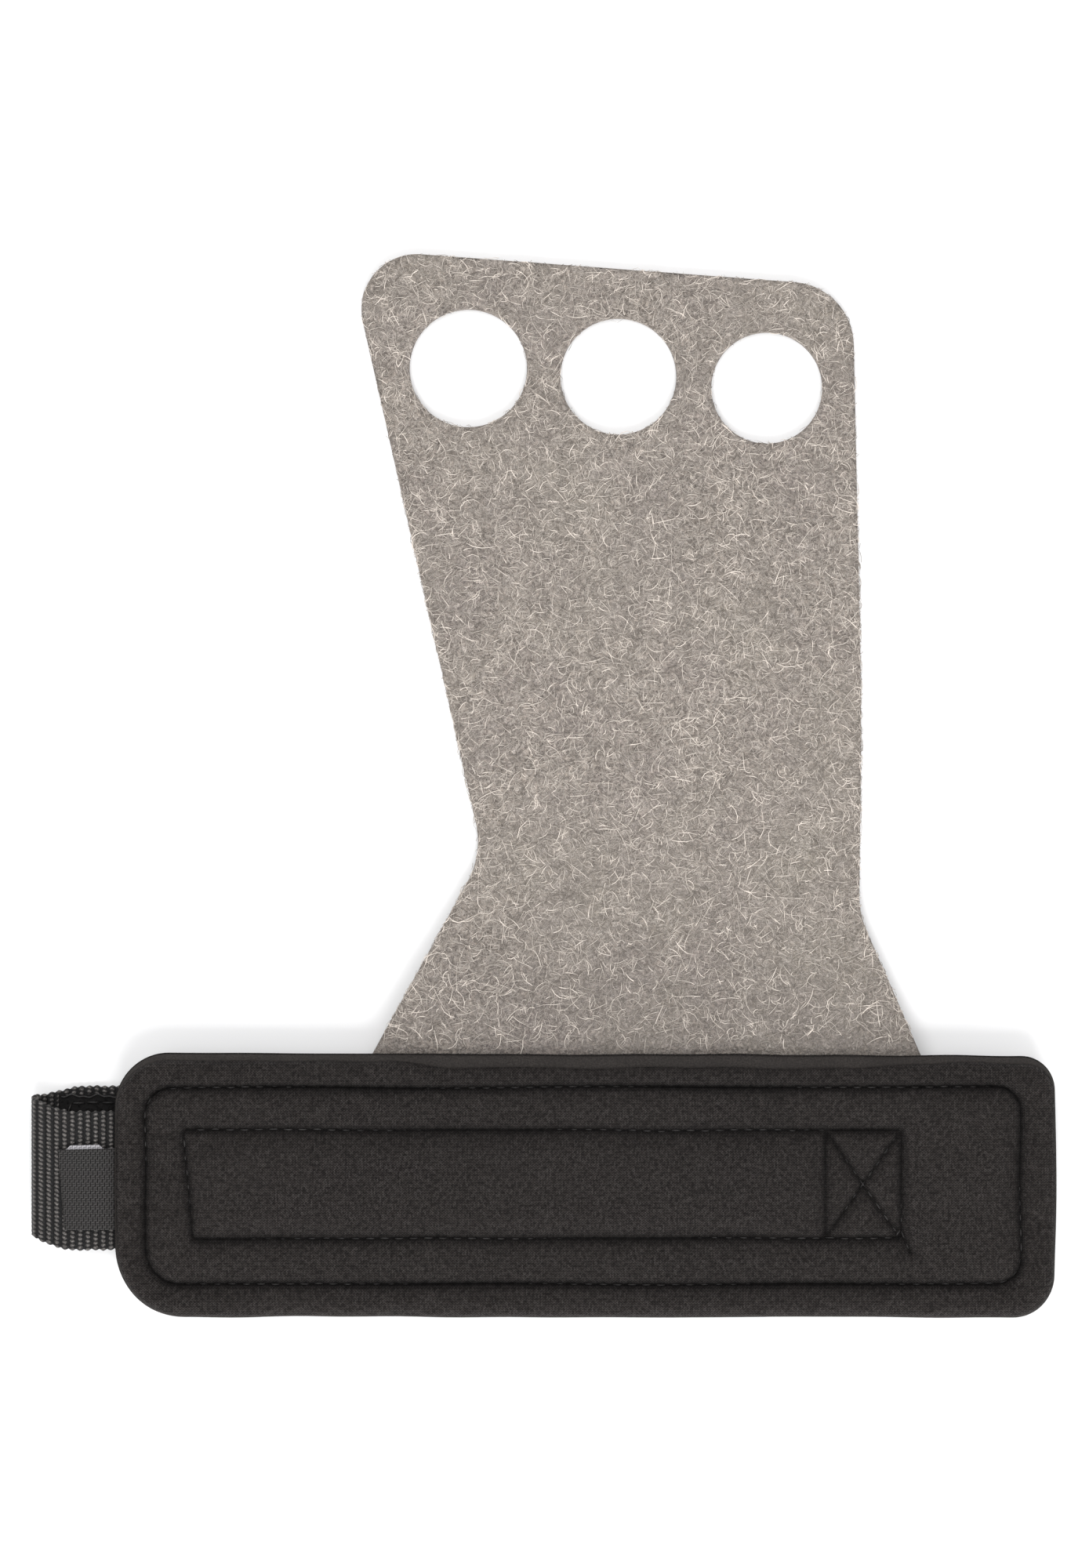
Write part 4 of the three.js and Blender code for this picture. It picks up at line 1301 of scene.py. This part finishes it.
# %% Tapes
def tape_ground(name, node, up, body):
    """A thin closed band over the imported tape: a rounded section carried along X."""
    low, high = node_box(node)
    x = np.arange(low[0], high[0], 0.4)
    base = low[2] + 0.05 if up > 0 else high[2] - 0.05
    around = np.array([(-1, 0), (-1, 0.3), (-0.97, 0.4), (0, 0.4), (0.97, 0.4), (1, 0.3), (1, 0), (0, 0)])
    half = (high[1] - low[1]) / 2 + 0.12 * np.sin(x * 1.9) + 0.1 * np.sin(x * 0.83)
    y = (low[1] + high[1]) / 2 + around[None, :, 0] * half[:, None]
    z = base + up * around[None, :, 1] + 0 * y
    points = np.stack([x[:, None] + 0 * y, y, z], axis=-1)
    blocks = tube_faces(len(x), len(around))
    if up > 0:
        blocks = [block[:, ::-1] for block in blocks]
    slot = "loop_pile" if "loop" in node else "hook_tape"
    dress(make_piece(name, points, blocks), TAPE_GROUND, slot, node, body=body)


TUFT_INSET = 0.8


def tufts(name, node, up, body, pitch, line, radius, material, slot, loose):
    """Copies of one bent tube on a lattice over a tape. line is the tube's middle, as across and
    up, and each copy is turned and leant at random by the amount that loose says."""
    low, high = node_box(node)
    x, y = np.meshgrid(*(np.arange(low[k] + TUFT_INSET, high[k] - TUFT_INSET, pitch) for k in (0, 1)))
    spots = np.stack([x.ravel(), y.ravel()], axis=1) + dice.normal(0, 0.3 * pitch * loose, (x.size, 2))
    count = len(spots)
    heading = dice.uniform(0, 2 * np.pi, count) * loose
    grow = 1 + 0.25 * loose * dice.normal(0, 1, count)
    toward = np.stack([np.cos(heading), np.sin(heading), np.zeros(count)], axis=1)
    upward = UP * up
    base = low[2] + 0.35 if up > 0 else high[2] - 0.35
    middle = np.column_stack([spots, np.full(count, base)])[:, None] + grow[:, None, None] * (
        line[None, :, :1] * toward[:, None] + line[None, :, 1:] * upward
    )
    tangent = unit(np.gradient(line, axis=0))
    square = tangent[None, :, 1:] * toward[:, None] - tangent[None, :, :1] * upward
    across = np.cross(toward, upward)[:, None]
    dress(tubes(name, middle, radius, square, -across, 3), material, slot, body=body)


def tape_selvage(name, node, body, radius=0.13, sides=6):
    """The edge yarn of a tape: a tube along its +Y side that waves a little."""
    low, high = node_box(node)
    x = np.arange(low[0] + 0.5, high[0] - 0.5, 0.3)
    y = high[1] - 0.3 + 0.22 * np.sin(x * 1.3) + 0.14 * np.sin(x * 2.7 + 1)
    z = low[2] + 0.75 + 0.12 * np.sin(x * 2.1)
    middle = np.stack([x, y, z], axis=-1)[None]
    piece = tubes(name, middle, radius, np.array([0, 1.0, 0]), UP, sides)
    dress(piece, THREAD, "loop_pile", body=body)


bow = np.linspace(-0.35, np.pi + 0.35, 7)
LOOP_LINE = np.stack([-0.42 * np.cos(bow), 0.1 + 0.42 * np.sin(bow)], axis=1)
crook = np.linspace(0, 0.85 * np.pi, 4)
hook_head = np.stack([0.16 - 0.16 * np.cos(crook), 0.42 + 0.14 * np.sin(crook)], axis=1)
HOOK_LINE = np.concatenate([[(0, 0), (0, 0.35)], hook_head])

tape_ground("sewn_tape_ground", "sewn_loop_tape", -1, "wrist")
tape_ground("free_tape_ground", "free_loop_tape", 1, "strap_end")
tape_ground("hook_tape_ground", "hook_tape", 1, "strap_end")
tape_selvage("free_tape_selvage", "free_loop_tape", "strap_end")
tufts("sewn_tape_loops", "sewn_loop_tape", -1, "wrist", 1.1, LOOP_LINE, 0.07, LOOPS, "loop_pile", 1.0)
tufts("free_tape_loops", "free_loop_tape", 1, "strap_end", 1.0, LOOP_LINE, 0.07, LOOPS, "loop_pile", 1.0)
tufts("hook_rows", "hook_tape", 1, "strap_end", 1.0, HOOK_LINE, 0.09, HOOKS, "hook_tape", 0.0)

# %% [markdown]
# ## The ring
#
# The ring is bent from round wire and closed with a weld. It is a circle carried along a
# rounded rectangle, with a slight swelling at the weld on its free side.

# %% Ring
RING_CORNER = 2.8
WIRE_SIDES = 20
wire_line = rounded_outline(box_corners(ring_low, ring_high, WIRE, RING_CORNER), 0.5)
wire_out = outward(wire_line)
weld = np.hypot(wire_line[:, 0] - ring_high[0] + WIRE, wire_line[:, 1] - sewn_y)
wire_radius = (WIRE + 0.12 * np.exp(-((weld / 0.8) ** 2)) - 0.05)[:, None]
around = np.linspace(0, 2 * np.pi, WIRE_SIDES + 1)[:-1]
wire_plan = wire_line[:, None] + (wire_radius * np.cos(around))[..., None] * wire_out[:, None]
wire_z = bar_z + wire_radius * np.sin(around)
wire_points = np.concatenate([wire_plan, wire_z[..., None]], axis=-1)
wire_faces = grid_faces(len(wire_line), WIRE_SIDES, wrap_rows=True, wrap_columns=True)
ring_piece = make_piece("wire_ring", wire_points, [wire_faces[:, ::-1]])
dress(ring_piece, STEEL, "ring_steel", "strap_ring", body="ring")

# %% [markdown]
# ## The label
#
# The label is a strip of satin folded once, with its two ends caught under the cuff. Its face
# is black and its back is pale, and the lower ply shows a sliver of the back because the fold
# isn't quite square. It is blank.

# %% Label
flap_low, flap_high = node_box("label_flap")
root_z = (flap_low[2] + flap_high[2]) / 2
root_x = node_box("label_root")[1][0]
LIFT = 1.05  # the flap lies on the webbing, which bows up outside the cuff
PLY = 0.16
flap_z = root_z + LIFT
leaves, arrives = (flap_high[0], root_z + 0.1), (flap_high[0] - 3, flap_z + 0.5)
out_ply = bezier((root_x, root_z + 0.16), leaves, arrives, (flap_low[0] + 0.3, flap_z))
back_ply = out_ply[::-1] - np.array([0, 0.34])
label_path = evenly(np.concatenate([out_ply, [(flap_low[0], flap_z - 0.17)], back_ply]), 0.18)
label_normal = right_of(np.gradient(label_path, axis=0))
share = np.linspace(0, 1, len(label_path))
past_fold = ease((share - 0.55) / 0.04) * (1 - ease((share - 0.76) / 0.04))
columns = 60
across = np.concatenate([np.linspace(0, 1, columns), np.linspace(1, 0, columns)])
side = np.concatenate([np.ones(columns), -np.ones(columns)]) * PLY / 2
front = flap_high[1] - 0.6 + 0.8 * past_fold + 0.1 * np.sin(share * 9)
y = flap_low[1] + (front - flap_low[1])[:, None] * across[None]
lean = (1.3 * (1 - across))[None] * np.exp(-((share - 0.5) / 0.25) ** 2)[:, None]
x = label_path[:, :1] + label_normal[:, :1] * side[None] + lean
curl = 0.12 * np.sin(3 * across)[None] * (1 - share[:, None])
z = label_path[:, 1:] + label_normal[:, 1:] * side[None] + curl
points = np.stack([x, y, z], axis=-1)
inner = np.where(side[None] > 0, 0.0, 1.0) + 0 * x
faces = tube_faces(len(label_path), 2 * columns)
label_piece = make_piece("label_strip", points, faces, inner_face=inner)
dress(label_piece, SATIN, "label_satin", "label_flap", "label_root")
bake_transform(label_piece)

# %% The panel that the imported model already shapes
panel = frame["nodes"]["outer_panel"]
panel.data.materials.clear()
panel.data.materials.append(PANEL)
